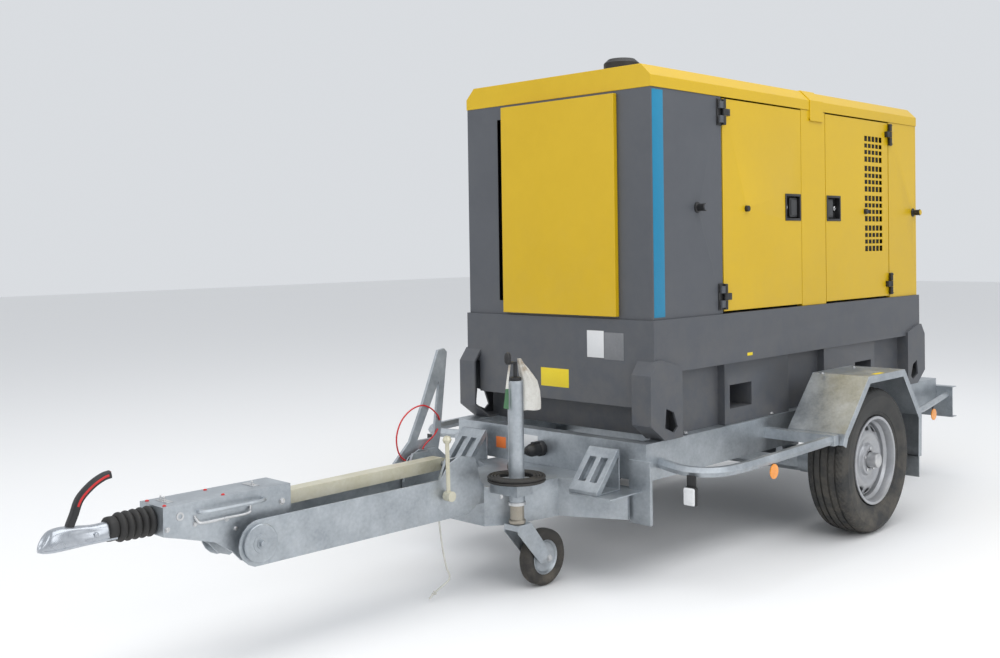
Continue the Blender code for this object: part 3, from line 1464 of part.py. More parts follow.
wheel_x = jockey_x + JOCKEY_TRAIL
fork_half = JOCKEY_WHEEL_W / 2 + 0.003
crown = box(
    "jockey_fork",
    (jockey_x - 0.034, JOCKEY_Y - fork_half - 0.004, INNER_LOW - GAP - 0.022),
    (jockey_x + 0.040, JOCKEY_Y + fork_half + 0.004, INNER_LOW - GAP),
)
fork_bits = []
for side in (-1, 1):
    low, high = sorted((JOCKEY_Y + side * fork_half, JOCKEY_Y + side * (fork_half + 0.004)))
    cheek = [
        (jockey_x - 0.034, INNER_LOW - 0.002),
        (jockey_x - 0.034, INNER_LOW - 0.030),
        (wheel_x - 0.050, JOCKEY_WHEEL_R - 0.010),
    ] + arc((wheel_x, JOCKEY_WHEEL_R), 0.020, 225, 405, 6) + [(jockey_x + 0.040, INNER_LOW - 0.002)]
    fork_bits.append(plate("cheek", "xz", [cheek], low, high))
axle = round_bar("axle", "y", (wheel_x, JOCKEY_Y, JOCKEY_WHEEL_R), 0.008, 2 * fork_half + 0.016, 12)
finish(join(crown, *fork_bits, axle), zinc, (jockey_x, JOCKEY_Y, INNER_LOW))

half_w = JOCKEY_WHEEL_W / 2
jockey_wheel = turned(
    "jockey_wheel",
    [
        (0.0085, half_w),
        (0.026, half_w),
        (0.034, half_w - 0.012),
        (0.066, half_w - 0.012),
        (JOCKEY_WHEEL_R - 0.014, half_w - 0.004),
        (JOCKEY_WHEEL_R, half_w - 0.018),
        (JOCKEY_WHEEL_R, 0.018 - half_w),
        (JOCKEY_WHEEL_R - 0.014, 0.004 - half_w),
        (0.066, 0.012 - half_w),
        (0.034, 0.012 - half_w),
        (0.026, -half_w),
        (0.0085, -half_w),
    ],
    (wheel_x, JOCKEY_Y, JOCKEY_WHEEL_R),
    "y",
    16,
)
finish(jockey_wheel, tyre_rubber, (wheel_x, JOCKEY_Y, JOCKEY_WHEEL_R))

SPINDLE_LOW = 0.715
SPINDLE_TOP = 0.872
spindle = round_bar(
    "jockey_crank",
    "z",
    (jockey_x, JOCKEY_Y, (SPINDLE_LOW + SPINDLE_TOP) / 2),
    0.008,
    SPINDLE_TOP - SPINDLE_LOW,
    12,
)
crank_bits = [
    round_bar("cap", "z", (jockey_x, JOCKEY_Y, JOCKEY_TOP + CLEAR + 0.006), 0.024, 0.012, 16),
    box(
        "crank_arm",
        (jockey_x - 0.050, JOCKEY_Y - 0.010, 0.862),
        (jockey_x + 0.010, JOCKEY_Y + 0.010, 0.871),
    ),
    round_bar("crank_grip", "z", (jockey_x - 0.040, JOCKEY_Y, 0.888), 0.013, 0.040, 12),
]
finish(join(spindle, *crank_bits), black_plastic, (jockey_x, JOCKEY_Y, JOCKEY_TOP))

bag_outline = [
    (jockey_x + 0.012, 0.858),
    (jockey_x + JOCKEY_TUBE_R + 0.006, 0.790),
    (jockey_x + JOCKEY_TUBE_R + 0.006, 0.690),
    (jockey_x + 0.136, 0.694),
    (jockey_x + 0.118, 0.800),
    (jockey_x + 0.060, 0.858),
]
crank_bag = plate("crank_bag", "xz", [bag_outline], JOCKEY_Y - 0.024, JOCKEY_Y + 0.020)
finish(crank_bag, bag_cloth)

# ---------------------------------------------------------------- wheel chocks on their shelves
for side, word in ((-1, "left"), (1, "right")):
    toe_x = from_axle(-1.462)
    heel_x = from_axle(-FRAME_AHEAD) - 0.050
    low_z = CHOCK_SHELF + GAP
    slope = [
        (toe_x, low_z),
        (heel_x, low_z),
        (heel_x, 0.515),
        (heel_x - 0.012, 0.515),
        (toe_x, low_z + 0.012),
    ]
    inner = [(toe_x + 0.030, low_z + 0.006), (heel_x - 0.006, low_z + 0.006), (heel_x - 0.006, 0.488)]
    y_low = min(side * (CHOCK_Y[0] - 0.010), side * (CHOCK_Y[1] - 0.070))
    y_high = max(side * (CHOCK_Y[0] - 0.010), side * (CHOCK_Y[1] - 0.070))
    chock = plate(f"{word}_chock", "xz", [slope, inner], y_low, y_high)
    middle = Vector(((toe_x + heel_x) / 2, 0, (low_z + 0.515) / 2))
    tilt = math.atan2(0.515 - low_z, heel_x - toe_x)
    cuts = []
    for share in (0.30, 0.70):
        slot = box("chock_slot", (-0.055, -0.017, -0.030), (0.055, 0.017, 0.030))
        slot.data.transform(
            Matrix.Translation((middle.x, y_low + share * (y_high - y_low), middle.z))
            @ Matrix.Rotation(-tilt, 4, "Y")
        )
        cuts.append(slot)
    finish(cut(chock, *cuts), zinc)

# ---------------------------------------------------------------- cable, plug, ropes
CABLE_R = 0.0055
COIL_IN = 0.055
COIL_OUT = 0.112
COIL_LOW = CLAMP_TOP + GAP
COIL_H = 0.046
cable_coil = turned(
    "cable_coil",
    [
        (COIL_OUT - 0.010, COIL_LOW + COIL_H),
        (COIL_OUT, COIL_LOW + COIL_H - 0.010),
        (COIL_OUT, COIL_LOW + 0.010),
        (COIL_OUT - 0.010, COIL_LOW),
        (COIL_IN + 0.010, COIL_LOW),
        (COIL_IN, COIL_LOW + 0.010),
        (COIL_IN, COIL_LOW + COIL_H - 0.010),
        (COIL_IN + 0.010, COIL_LOW + COIL_H),
    ],
    (jockey_x, JOCKEY_Y, 0),
    steps=16,
)
finish(cable_coil, black_rubber)

PLUG_Y = 0.020
PLUG_Z = 0.460
plug_x = from_axle(-FRAME_AHEAD) - GAP
lighting_plug = turned(
    "lighting_plug",
    [
        (0.0, 0.0),
        (0.033, 0.0),
        (0.033, -0.022),
        (0.026, -0.026),
        (0.028, -0.070),
        (0.018, -0.096),
        (0.010, -0.122),
        (0.0, -0.122),
    ],
    (plug_x, PLUG_Y, PLUG_Z),
    "x",
    12,
)
finish(lighting_plug, black_plastic)

coil_angle = math.radians(40)
coil_side = Vector((math.cos(coil_angle), math.sin(coil_angle), 0))
coil_centre = Vector((jockey_x, JOCKEY_Y, COIL_LOW + COIL_H / 2))
cable_tail = tube(
    "cable_tail",
    smooth_route(
        [
            (plug_x - 0.1225, PLUG_Y, PLUG_Z),
            (plug_x - 0.150, PLUG_Y, PLUG_Z),
            (plug_x - 0.190, PLUG_Y - 0.004, PLUG_Z - 0.016),
            (plug_x - 0.222, PLUG_Y - 0.020, BASE_TOP + 0.030),
            (plug_x - 0.246, PLUG_Y - 0.052, BASE_TOP + 0.012),
            tuple(coil_centre + coil_side * (COIL_OUT + 0.050) + Vector((0, 0, -0.006))),
            tuple(coil_centre + coil_side * (COIL_OUT + 0.020)),
            tuple(coil_centre + coil_side * (COIL_OUT + GAP)),
        ],
        26,
    ),
    CABLE_R,
)
finish(cable_tail, black_rubber)

rope_x = from_axle(-1.926)
lock_rope = tube(
    "lock_rope",
    smooth_route(
        [
            (rope_x, -0.055, 0.330 - GAP),
            (rope_x + 0.002, -0.055, 0.290),
            (rope_x + 0.010, -0.057, 0.220),
            (rope_x + 0.020, -0.058, 0.160),
            (rope_x + 0.032, -0.060, 0.110),
            (rope_x + 0.044, -0.062, 0.080),
            (rope_x + 0.034, -0.064, 0.062),
            (rope_x + 0.000, -0.062, 0.046),
            (rope_x - 0.036, -0.060, 0.030),
            (rope_x - 0.056, -0.060, 0.016),
        ],
        30,
    ),
    0.0035,
)
finish(lock_rope, rope_fibre)

loop_y = lever_low - 0.0085
loop_route = smooth_route(
    [
        (from_axle(-1.746), lever_low - 0.0045, 0.626),
        (from_axle(-1.762), loop_y, 0.648),
        (from_axle(-1.800), loop_y, 0.680),
        (from_axle(-1.845), loop_y, 0.694),
        (from_axle(-1.900), loop_y, 0.682),
        (from_axle(-1.948), loop_y, 0.645),
        (from_axle(-1.972), loop_y, 0.590),
        (from_axle(-1.966), loop_y, 0.535),
        (from_axle(-1.940), loop_y, 0.500),
        (from_axle(-1.900), loop_y, 0.488),
        (from_axle(-1.858), loop_y, 0.508),
        (from_axle(-1.828), loop_y, 0.542),
        (from_axle(-1.785), loop_y, 0.568),
        (from_axle(-1.756), lever_low - 0.0045, 0.592),
    ],
    40,
)
loop_start = (loop_route[0][0], lever_low - GAP, loop_route[0][2])
loop_end = (loop_route[-1][0], lever_low - GAP, loop_route[-1][2])
breakaway_cable = tube("breakaway_cable", [loop_start] + loop_route + [loop_end], 0.003)
finish(breakaway_cable, red_plastic)
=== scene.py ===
import json
import math

import bmesh
import bpy
import numpy as np
from mathutils import Matrix, Vector


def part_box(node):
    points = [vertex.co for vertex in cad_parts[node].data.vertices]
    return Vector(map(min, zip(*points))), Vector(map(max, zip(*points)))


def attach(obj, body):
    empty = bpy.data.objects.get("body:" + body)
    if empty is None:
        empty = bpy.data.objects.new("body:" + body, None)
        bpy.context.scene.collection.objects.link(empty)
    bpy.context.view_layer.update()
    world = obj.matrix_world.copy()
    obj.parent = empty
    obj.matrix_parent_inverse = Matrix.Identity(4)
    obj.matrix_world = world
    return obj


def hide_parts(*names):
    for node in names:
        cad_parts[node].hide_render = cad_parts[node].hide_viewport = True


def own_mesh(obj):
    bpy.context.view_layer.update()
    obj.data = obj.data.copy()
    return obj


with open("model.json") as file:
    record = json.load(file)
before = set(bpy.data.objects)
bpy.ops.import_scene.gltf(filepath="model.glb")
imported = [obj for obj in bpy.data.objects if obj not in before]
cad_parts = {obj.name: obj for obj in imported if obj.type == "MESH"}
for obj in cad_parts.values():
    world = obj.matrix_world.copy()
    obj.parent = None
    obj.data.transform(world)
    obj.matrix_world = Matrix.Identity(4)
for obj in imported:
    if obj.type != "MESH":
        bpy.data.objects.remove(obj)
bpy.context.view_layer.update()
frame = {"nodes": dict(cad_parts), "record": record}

home = {}
for body_name, node_names in frame["record"]["behaviour"]["bodies"].items():
    for node_name in node_names:
        home[node_name] = body_name
AXLE = 0.9705
GROUND = 0.0


# ------------------------------------------------------------------ the view
# A camera at chest height, ahead of the coupling and off the kerb side, looking back along the trailer.
# It is held level but for a degree of tilt, as a hand-held camera is.
def aim_camera(place, yaw, down, roll, lens, shift):
    """Turns yaw, downward tilt and roll, in degrees, into the camera's right, up and back directions."""
    y, d, r = np.radians([yaw, down, roll])
    level = np.array([math.cos(y), math.sin(y), 0.0])
    across = np.array([math.sin(y), -math.cos(y), 0.0])
    above = np.array([0.0, 0.0, 1.0])
    ahead = level * math.cos(d) - above * math.sin(d)
    tilted = above * math.cos(d) + level * math.sin(d)
    right = across * math.cos(r) + tilted * math.sin(r)
    up = tilted * math.cos(r) - across * math.sin(r)
    camera = bpy.data.objects.new("camera", bpy.data.cameras.new("camera"))
    bpy.context.scene.collection.objects.link(camera)
    camera.data.lens = lens
    camera.data.sensor_width = 36.0
    camera.data.shift_x, camera.data.shift_y = shift
    camera.data.clip_end = 100.0
    matrix = np.eye(4)
    matrix[:3, 0], matrix[:3, 1], matrix[:3, 2], matrix[:3, 3] = right, up, -ahead, place
    camera.matrix_world = Matrix(matrix.tolist())
    bpy.context.scene.camera = camera


aim_camera((-3.7403, -3.1044, 1.3095), 43.9387, 0.9882, -0.8407, 40.245, (-0.0061, -0.065))


# ------------------------------------------------------------------ ways of finishing a surface
# Every finish is a colour that varies a little over the real thing: paint that has been out in the
# rain, zinc with its crystals, rubber with dried mud.  One group mottles, one lays road dirt low down.
def start_group(name, inputs, outputs):
    """An empty shader group with its sockets, ready to be wired."""
    group = bpy.data.node_groups.new(name, "ShaderNodeTree")
    for label, kind, value in inputs:
        made = group.interface.new_socket(label, in_out="INPUT", socket_type=kind)
        made.default_value = value
    for label, kind in outputs:
        group.interface.new_socket(label, in_out="OUTPUT", socket_type=kind)
    nodes = group.nodes
    return group, nodes, group.links, nodes.new("NodeGroupInput"), nodes.new("NodeGroupOutput")


def noise(nodes, links, place, scale, detail=4.0, roughness=0.6):
    made = nodes.new("ShaderNodeTexNoise")
    made.inputs["Scale"].default_value = scale
    made.inputs["Detail"].default_value = detail
    made.inputs["Roughness"].default_value = roughness
    links.new(place, made.inputs["Vector"])
    return made.outputs["Fac"]


def ranged(nodes, links, value, from_low, from_high, to_low=0.0, to_high=1.0):
    made = nodes.new("ShaderNodeMapRange")
    for socket, number in zip(
        ("From Min", "From Max", "To Min", "To Max"), (from_low, from_high, to_low, to_high)
    ):
        if isinstance(number, (int, float)):
            made.inputs[socket].default_value = number
        else:
            links.new(number, made.inputs[socket])
    links.new(value, made.inputs["Value"])
    return made.outputs["Result"]


def blended(nodes, links, factor, first, second, mode="MIX"):
    made = nodes.new("ShaderNodeMix")
    made.data_type = "RGBA"
    made.blend_type = mode
    for socket, value in ((made.inputs[0], factor), (made.inputs[6], first), (made.inputs[7], second)):
        if isinstance(value, (int, float)):
            socket.default_value = value
        elif isinstance(value, tuple):
            socket.default_value = (*value, 1.0)
        else:
            links.new(value, socket)
    return made.outputs[2]


def worked(nodes, links, operation, first, second):
    made = nodes.new("ShaderNodeMath")
    made.operation = operation
    for socket, value in zip(made.inputs, (first, second)):
        if isinstance(value, (int, float)):
            socket.default_value = value
        else:
            links.new(value, socket)
    return made.outputs[0]


def make_mottle():
    """Two sizes of cloud mixed between a colour and its lighter patches, with matching roughness."""
    group, nodes, links, given, put = start_group(
        "mottle",
        [
            ("Colour", "NodeSocketColor", (0.5, 0.5, 0.5, 1)),
            ("Patches", "NodeSocketColor", (0.6, 0.6, 0.6, 1)),
            ("Scale", "NodeSocketFloat", 6.0),
            ("Smooth", "NodeSocketFloat", 0.3),
            ("Rough", "NodeSocketFloat", 0.5),
        ],
        [("Colour", "NodeSocketColor"), ("Roughness", "NodeSocketFloat"), ("Height", "NodeSocketFloat")],
    )
    place = nodes.new("ShaderNodeTexCoord").outputs["Object"]
    scaled = nodes.new("ShaderNodeVectorMath")
    scaled.operation = "SCALE"
    links.new(place, scaled.inputs[0])
    links.new(given.outputs["Scale"], scaled.inputs["Scale"])
    large = noise(nodes, links, scaled.outputs[0], 1.0)
    small = noise(nodes, links, scaled.outputs[0], 9.0, 3.0)
    cloud = worked(nodes, links, "ADD", large, worked(nodes, links, "MULTIPLY", small, 0.45))
    share = ranged(nodes, links, cloud, 0.48, 0.98)
    links.new(
        blended(nodes, links, share, given.outputs["Colour"], given.outputs["Patches"]),
        put.inputs["Colour"]
    )
    links.new(
        ranged(nodes, links, cloud, 0.45, 1.0, given.outputs["Smooth"], given.outputs["Rough"]),
        put.inputs["Roughness"],
    )
    links.new(small, put.inputs["Height"])
    return group


def make_road_dirt():
    """Dust that thins out with height above the road and in blotches, as spray leaves it."""
    group, nodes, links, given, put = start_group(
        "road_dirt",
        [
            ("Colour", "NodeSocketColor", (0.5, 0.5, 0.5, 1)),
            ("Dirt", "NodeSocketColor", (0.30, 0.26, 0.20, 1)),
            ("Top", "NodeSocketFloat", 0.8),
            ("Amount", "NodeSocketFloat", 0.5),
            ("Roughness", "NodeSocketFloat", 0.5),
        ],
        [("Colour", "NodeSocketColor"), ("Roughness", "NodeSocketFloat")],
    )
    place = nodes.new("ShaderNodeTexCoord").outputs["Object"]
    apart = nodes.new("ShaderNodeSeparateXYZ")
    links.new(place, apart.inputs[0])
    low = ranged(nodes, links, apart.outputs["Z"], given.outputs["Top"], GROUND, 0.0, 1.0)
    blotch = ranged(nodes, links, noise(nodes, links, place, 11.0, 6.0, 0.7), 0.40, 0.62)
    share = worked(
        nodes, links, "MULTIPLY", worked(nodes, links, "MULTIPLY", low, blotch), given.outputs["Amount"]
    )
    links.new(
        blended(nodes, links, share, given.outputs["Colour"], given.outputs["Dirt"]),
        put.inputs["Colour"]
    )
    rough = worked(
        nodes, links, "ADD", given.outputs["Roughness"], worked(nodes, links, "MULTIPLY", share, 0.4)
    )
    links.new(rough, put.inputs["Roughness"])
    return group


mottle = make_mottle()
road_dirt = make_road_dirt()


def finish(
    name, colour, patches, scale, smooth, rough, dirt=0.0, top=0.8, bump=0.0, slot=None, **shader_values
):
    """A material: the mottle group, then road dirt, into the shader.

    bump is the height of its grain in metres.
    """
    made = bpy.data.materials.new(name)
    made.use_nodes = True
    nodes, links = made.node_tree.nodes, made.node_tree.links
    shader = nodes["Principled BSDF"]
    base = nodes.new("ShaderNodeGroup")
    base.node_tree = mottle
    base.inputs["Colour"].default_value = (*colour, 1)
    base.inputs["Patches"].default_value = (*patches, 1)
    base.inputs["Scale"].default_value = scale
    base.inputs["Smooth"].default_value = smooth
    base.inputs["Rough"].default_value = rough
    out = base
    if dirt:
        out = nodes.new("ShaderNodeGroup")
        out.node_tree = road_dirt
        out.inputs["Top"].default_value = top
        out.inputs["Amount"].default_value = dirt
        links.new(base.outputs["Colour"], out.inputs["Colour"])
        links.new(base.outputs["Roughness"], out.inputs["Roughness"])
    links.new(out.outputs["Colour"], shader.inputs["Base Color"])
    links.new(out.outputs["Roughness"], shader.inputs["Roughness"])
    if bump:
        raised = nodes.new("ShaderNodeBump")
        raised.inputs["Distance"].default_value = bump
        raised.inputs["Strength"].default_value = 0.6
        links.new(base.outputs["Height"], raised.inputs["Height"])
        links.new(raised.outputs["Normal"], shader.inputs["Normal"])
    for label, value in shader_values.items():
        shader.inputs[label.replace("_", " ")].default_value = value
    return made


# ------------------------------------------------------------------ ways of making a piece
# Turned, folded and bent pieces are all rings of points: a ring carried along, and shut at its ends.
def shell(name, stacks, material, body, crease=35):
    """One mesh from stacks of rings.

    A stack is a grid of points, rows by columns.  Each row closes on itself and is joined to the next
    by quads; a row of one repeated point shuts an end.
    """
    stacks = [np.asarray(stack, float) for stack in stacks]
    quads = []
    start = 0
    for stack in stacks:
        rows, columns = stack.shape[:2]
        index = start + np.arange(rows * columns).reshape(rows, columns)
        beside = np.roll(index, -1, axis=1)
        quads.append(np.stack([index[:-1], beside[:-1], beside[1:], index[1:]], -1).reshape(-1, 4))
        start += rows * columns
    points = np.concatenate([stack.reshape(-1, 3) for stack in stacks])
    return piece(name, points, np.concatenate(quads), material, body, crease)


def piece(name, points, faces, material, body, crease=35):
    """A mesh with doubled points merged and faces turned outwards, smooth but for edges past the crease."""
    mesh = bpy.data.meshes.new(name)
    mesh.from_pydata(points.tolist(), [], faces.tolist())
    shape = bmesh.new()
    shape.from_mesh(mesh)
    bmesh.ops.remove_doubles(shape, verts=shape.verts, dist=1e-6)
    bmesh.ops.dissolve_degenerate(shape, edges=shape.edges, dist=1e-7)
    bmesh.ops.recalc_face_normals(shape, faces=shape.faces[:])
    shape.to_mesh(mesh)
    shape.free()
    mesh.shade_smooth()
    mesh.set_sharp_from_angle(angle=math.radians(crease))
    made = bpy.data.objects.new(name, mesh)
    bpy.context.scene.collection.objects.link(made)
    made.data.materials.append(material)
    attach(made, body)
    return made


def block(low, high, edge=0.002):
    """A box with rolled edges.

    A round-cornered rectangle is carried from low to high and drawn in at both ends.
    """
    low, high = np.minimum(low, high).astype(float), np.maximum(low, high).astype(float)
    edge = min(edge, 0.48 * float((high - low).min()))
    half = (high - low) / 2
    around = np.linspace(0, 2 * np.pi, 17)[:-1] + np.pi / 16
    quadrant = np.stack([np.sign(np.cos(around)), np.sign(np.sin(around))], -1)
    bend = np.floor(around / (np.pi / 2)) * (np.pi / 2)
    bend = bend + (around - bend - np.pi / 16) / (3 * np.pi / 8) * (np.pi / 2)
    spread = np.stack([np.cos(bend), np.sin(bend)], -1)
    climb = np.array([0.0, np.pi / 4, np.pi / 2])
    inset = np.concatenate([edge * (1 - np.sin(climb)), (edge * (1 - np.sin(climb)))[::-1]])
    height = np.concatenate(
        [edge * (1 - np.cos(climb)) - half[2], (half[2] - edge * (1 - np.cos(climb)))[::-1]]
    )
    flat = quadrant[None] * (half[:2] - edge) + spread[None] * (edge - inset)[:, None, None]
    rings = np.concatenate([flat, np.broadcast_to(height[:, None, None], (6, 16, 1))], -1)
    shut = np.zeros((1, 16, 3))
    rings = np.concatenate([shut + (0, 0, -half[2]), rings, shut + (0, 0, half[2])])
    return rings + (low + high) / 2


TURN = {
    "x": np.array([[0, 0, 1], [1, 0, 0], [0, 1, 0]], float),
    "y": np.array([[0, 1, 0], [0, 0, 1], [1, 0, 0]], float),
    "z": np.eye(3),
}


def lathe(profile, centre, axis="z", sides=24):
    """A profile of (radius, height) turned about an axis through centre; radius 0 shuts an end."""
    profile = np.asarray(profile, float)
    around = np.linspace(0, 2 * np.pi, sides + 1)[:-1]
    ring = np.stack([np.cos(around), np.sin(around)], -1)
    points = np.concatenate(
        [
            profile[:, None, :1] * ring[None],
            np.broadcast_to(profile[:, None, 1:], (len(profile), sides, 1))
        ],
        -1
    )
    return points @ TURN[axis].T + np.asarray(centre, float)


def rod(start, end, radius, sides=16, edge=0.0015):
    """A round bar between two points with its rims rolled: a circle carried along the line."""
    start, end = np.asarray(start, float), np.asarray(end, float)
    length = np.linalg.norm(end - start)
    along = (end - start) / length
    side = np.cross(along, (0, 0, 1) if abs(along[2]) < 0.9 else (1, 0, 0))
    side /= np.linalg.norm(side)
    up = np.cross(along, side)
    edge = min(edge, 0.4 * radius, 0.4 * length)
    rows = [
        (0, 0), (radius - edge, 0), (radius, edge), (radius, length - edge), (radius - edge, length),
        (0, length)
    ]
    around = np.linspace(0, 2 * np.pi, sides + 1)[:-1]
    ring = np.cos(around)[:, None] * side + np.sin(around)[:, None] * up
    return np.stack([start + along * h + ring * r for r, h in rows])


def sweep(route, section, up=(0, 0, 1), shut=True):
    """A closed section of (across, up) points carried square to a route of points."""
    route = np.asarray(route, float)
    section = np.asarray(section, float)
    along = np.gradient(route, axis=0)
    along /= np.linalg.norm(along, axis=1)[:, None]
    side = np.cross(along, up)
    side /= np.linalg.norm(side, axis=1)[:, None]
    top = np.cross(side, along)
    points = route[:, None] + section[None, :, :1] * side[:, None] + section[None, :, 1:] * top[:, None]
    if shut:
        ends = np.broadcast_to(route[[0, -1]][:, None], (2, len(section), 3))
        points = np.concatenate([ends[:1], points, ends[1:]])
    return points


def circle(radius, sides=12):
    around = np.linspace(0, 2 * np.pi, sides + 1)[:-1]
    return np.stack([radius * np.cos(around), radius * np.sin(around)], -1)


def smooth_line(points, count):
    """Evenly numbered points of the Catmull-Rom curve through a few chosen ones, all at once."""
    chosen = np.asarray(points, float)
    chosen = np.concatenate([2 * chosen[:1] - chosen[1:2], chosen, 2 * chosen[-1:] - chosen[-2:-1]])
    place = np.linspace(0, len(chosen) - 3, count)
    k = np.minimum(place.astype(int), len(chosen) - 4)
    t = (place - k)[:, None]
    a, b, c, d = chosen[k], chosen[k + 1], chosen[k + 2], chosen[k + 3]
    return 0.5 * (2 * b + (c - a) * t + (2 * a - 5 * b + 4 * c - d) * t**2 + (3 * b - a - 3 * c + d) * t**3)


def bolt(centre, axis, out, size=0.012):
    """A washer and a hexagon head standing out from centre along an axis; out is 1 or -1."""
    washer = [(0, 0), (size, 0), (size, out * size * 0.16), (0, out * size * 0.16)]
    head = [
        (0, 0), (size * 0.8, 0), (size * 0.8, out * size * 0.62), (size * 0.66, out * size * 0.72),
        (0, out * size * 0.72)
    ]
    return [lathe(washer, centre, axis, 18), lathe(head, centre, axis, 6)]


def dress(node, material, edge=0.0012, flatten=True):
    """A solid with its corners merged and its edges rolled over, as folded sheet and castings have."""
    mesh = frame["nodes"][node].data.copy()
    mesh.name = node + "_finished"
    shape = bmesh.new()
    shape.from_mesh(mesh)
    bmesh.ops.remove_doubles(shape, verts=shape.verts, dist=1e-5)
    if flatten:
        bmesh.ops.dissolve_limit(shape, angle_limit=math.radians(0.5), verts=shape.verts, edges=shape.edges)
    bmesh.ops.recalc_face_normals(shape, faces=shape.faces[:])
    shape.to_mesh(mesh)
    shape.free()
    mesh.shade_smooth()
    mesh.set_sharp_from_angle(angle=math.radians(32))
    mesh.materials.clear()
    mesh.materials.append(material)
    made = bpy.data.objects.new(node + "_finished", mesh)
    bpy.context.scene.collection.objects.link(made)
    rolled = made.modifiers.new("rolled_edges", "BEVEL")
    rolled.width = edge
    rolled.segments = 2
    rolled.limit_method = "ANGLE"
    rolled.angle_limit = math.radians(32)
    rolled.use_clamp_overlap = True
    rolled.harden_normals = True
    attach(made, home[node])
    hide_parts(node)
    return made


def coat(node, material):
    """The solid itself, in its real finish."""
    slots = frame["nodes"][node].data.materials
    slots.clear()
    slots.append(material)


zinc = finish(
    "hot_dip_zinc", (0.30, 0.33, 0.36), (0.50, 0.535, 0.565), 9.0, 0.30, 0.50, dirt=0.14, top=0.55,
    bump=0.0004, slot="galvanised_steel", Metallic=0.75
)
black_rubber = finish(
    "black_rubber", (0.012, 0.012, 0.012), (0.028, 0.027, 0.026), 14.0, 0.5, 0.75, dirt=0.5, top=0.5,
    slot="black_rubber"
)
black_plastic = finish(
    "black_plastic", (0.010, 0.010, 0.011), (0.020, 0.020, 0.021), 10.0, 0.38, 0.55,
    slot="black_plastic"
)

# ------------------------------------------------------------------ lighting cable, rope and breakaway cable
# The lighting cable is coiled on the jockey wheel's clamp, and its plug is parked on the crossmember.
# A thin rope hangs from the height lock, and a red sheathed steel cable loops from the handbrake.
CABLE_R = 0.0055
jockey_low, jockey_high = (np.array(v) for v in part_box("jockey_tube"))
jockey_at = (jockey_low + jockey_high) / 2
coil_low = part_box("cable_coil")[0][2]
plug_low, plug_high = (np.array(v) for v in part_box("lighting_plug"))
plug_back = np.array([plug_low[0], (plug_low[1] + plug_high[1]) / 2, (plug_low[2] + plug_high[2]) / 2])


def coil_line(centre, radii, heights, start, per_turn=24):
    """A winding whose radius and height step from slot to slot over the last sixth of each turn, eased."""
    turns = len(radii) - 1
    place = np.linspace(0, turns, turns * per_turn + 1)
    whole = np.minimum(place.astype(int), turns - 1)
    share = np.clip((place - whole - 0.8) / 0.2, 0, 1)
    eased = share * share * (3 - 2 * share)
    radius = np.asarray(radii)[whole] * (1 - eased) + np.asarray(radii)[whole + 1] * eased
    height = np.asarray(heights)[whole] * (1 - eased) + np.asarray(heights)[whole + 1] * eased
    angle = start - 2 * np.pi * place
    return np.stack([centre[0] + radius * np.cos(angle), centre[1] + radius * np.sin(angle), height], -1)


def cord_piece(name, line, radius, material, body, sides=10):
    return shell(name, [sweep(line, circle(radius, sides), up=(0.05, 0.02, 1.0))], material, body, crease=60)


TAIL = [
    (AXLE - 1.3928, 0.020, 0.460),
    (AXLE - 1.4203, 0.020, 0.460),
    (AXLE - 1.4603, 0.016, 0.444),
    (AXLE - 1.4923, 0.000, 0.4197),
    (AXLE - 1.5163, -0.032, 0.4050),
    (AXLE - 1.5580, -0.078, 0.4080),
    (AXLE - 1.5880, -0.118, 0.4200),
]
winding = coil_line(
    (jockey_at[0], jockey_at[1]),
    (0.1055, 0.1055, 0.0935, 0.0935, 0.0815, 0.0815, 0.0695, 0.0695),
    (coil_low + 0.0165, coil_low + 0.0285, coil_low + 0.0285, coil_low + 0.0165,
     coil_low + 0.0165, coil_low + 0.0285, coil_low + 0.0285, coil_low + 0.0165),
    math.radians(38),
)
cable_line = np.concatenate([smooth_line(TAIL, 30)[:-1], winding])
lighting_cable = cord_piece("lighting_cable", cable_line, CABLE_R, black_rubber, "trailer")
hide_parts("cable_coil", "cable_tail")

plug = shell(
    "lighting_plug_finished",
    [
        lathe(
            [
                (0, 0), (0.030, 0), (0.032, -0.002), (0.032, -0.020), (0.029, -0.022), (0.026, -0.026),
                (0.027, -0.034), (0.027, -0.066), (0.025, -0.072), (0.019, -0.088), (0.0125, -0.094),
                (0.0125, -0.100), (0.010, -0.102), (0.010, -0.108), (0.0085, -0.110), (0.0085, -0.1222),
                (0, -0.1222)
            ],
            (plug_high[0], plug_back[1], plug_back[2]), "x", 32
        ),
        block(
            (plug_high[0] - 0.060, plug_back[1] - 0.010, plug_back[2] + 0.020),
            (plug_high[0] - 0.002, plug_back[1] + 0.010, plug_back[2] + 0.032), 0.003
        )
    ],
    black_plastic, "trailer"
)
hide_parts("lighting_plug")

ROPE_R = 0.0035
rope_x = AXLE - 1.926
rope_points = [
    (rope_x, -0.055, 0.3297),
    (rope_x + 0.002, -0.055, 0.290),
    (rope_x + 0.010, -0.057, 0.220),
    (rope_x + 0.020, -0.058, 0.160),
    (rope_x + 0.032, -0.060, 0.110),
    (rope_x + 0.044, -0.062, 0.080),
    (rope_x + 0.034, -0.064, 0.062),
    (rope_x + 0.000, -0.062, 0.046),
    (rope_x - 0.036, -0.060, 0.030),
    (rope_x - 0.056, -0.060, 0.016),
]
rope_line = smooth_line(rope_points, 90)
cloth = finish(
    "rope_fibre", (0.50, 0.49, 0.44), (0.66, 0.65, 0.60), 60.0, 0.8, 0.95, bump=0.001, slot="rope_fibre"
)


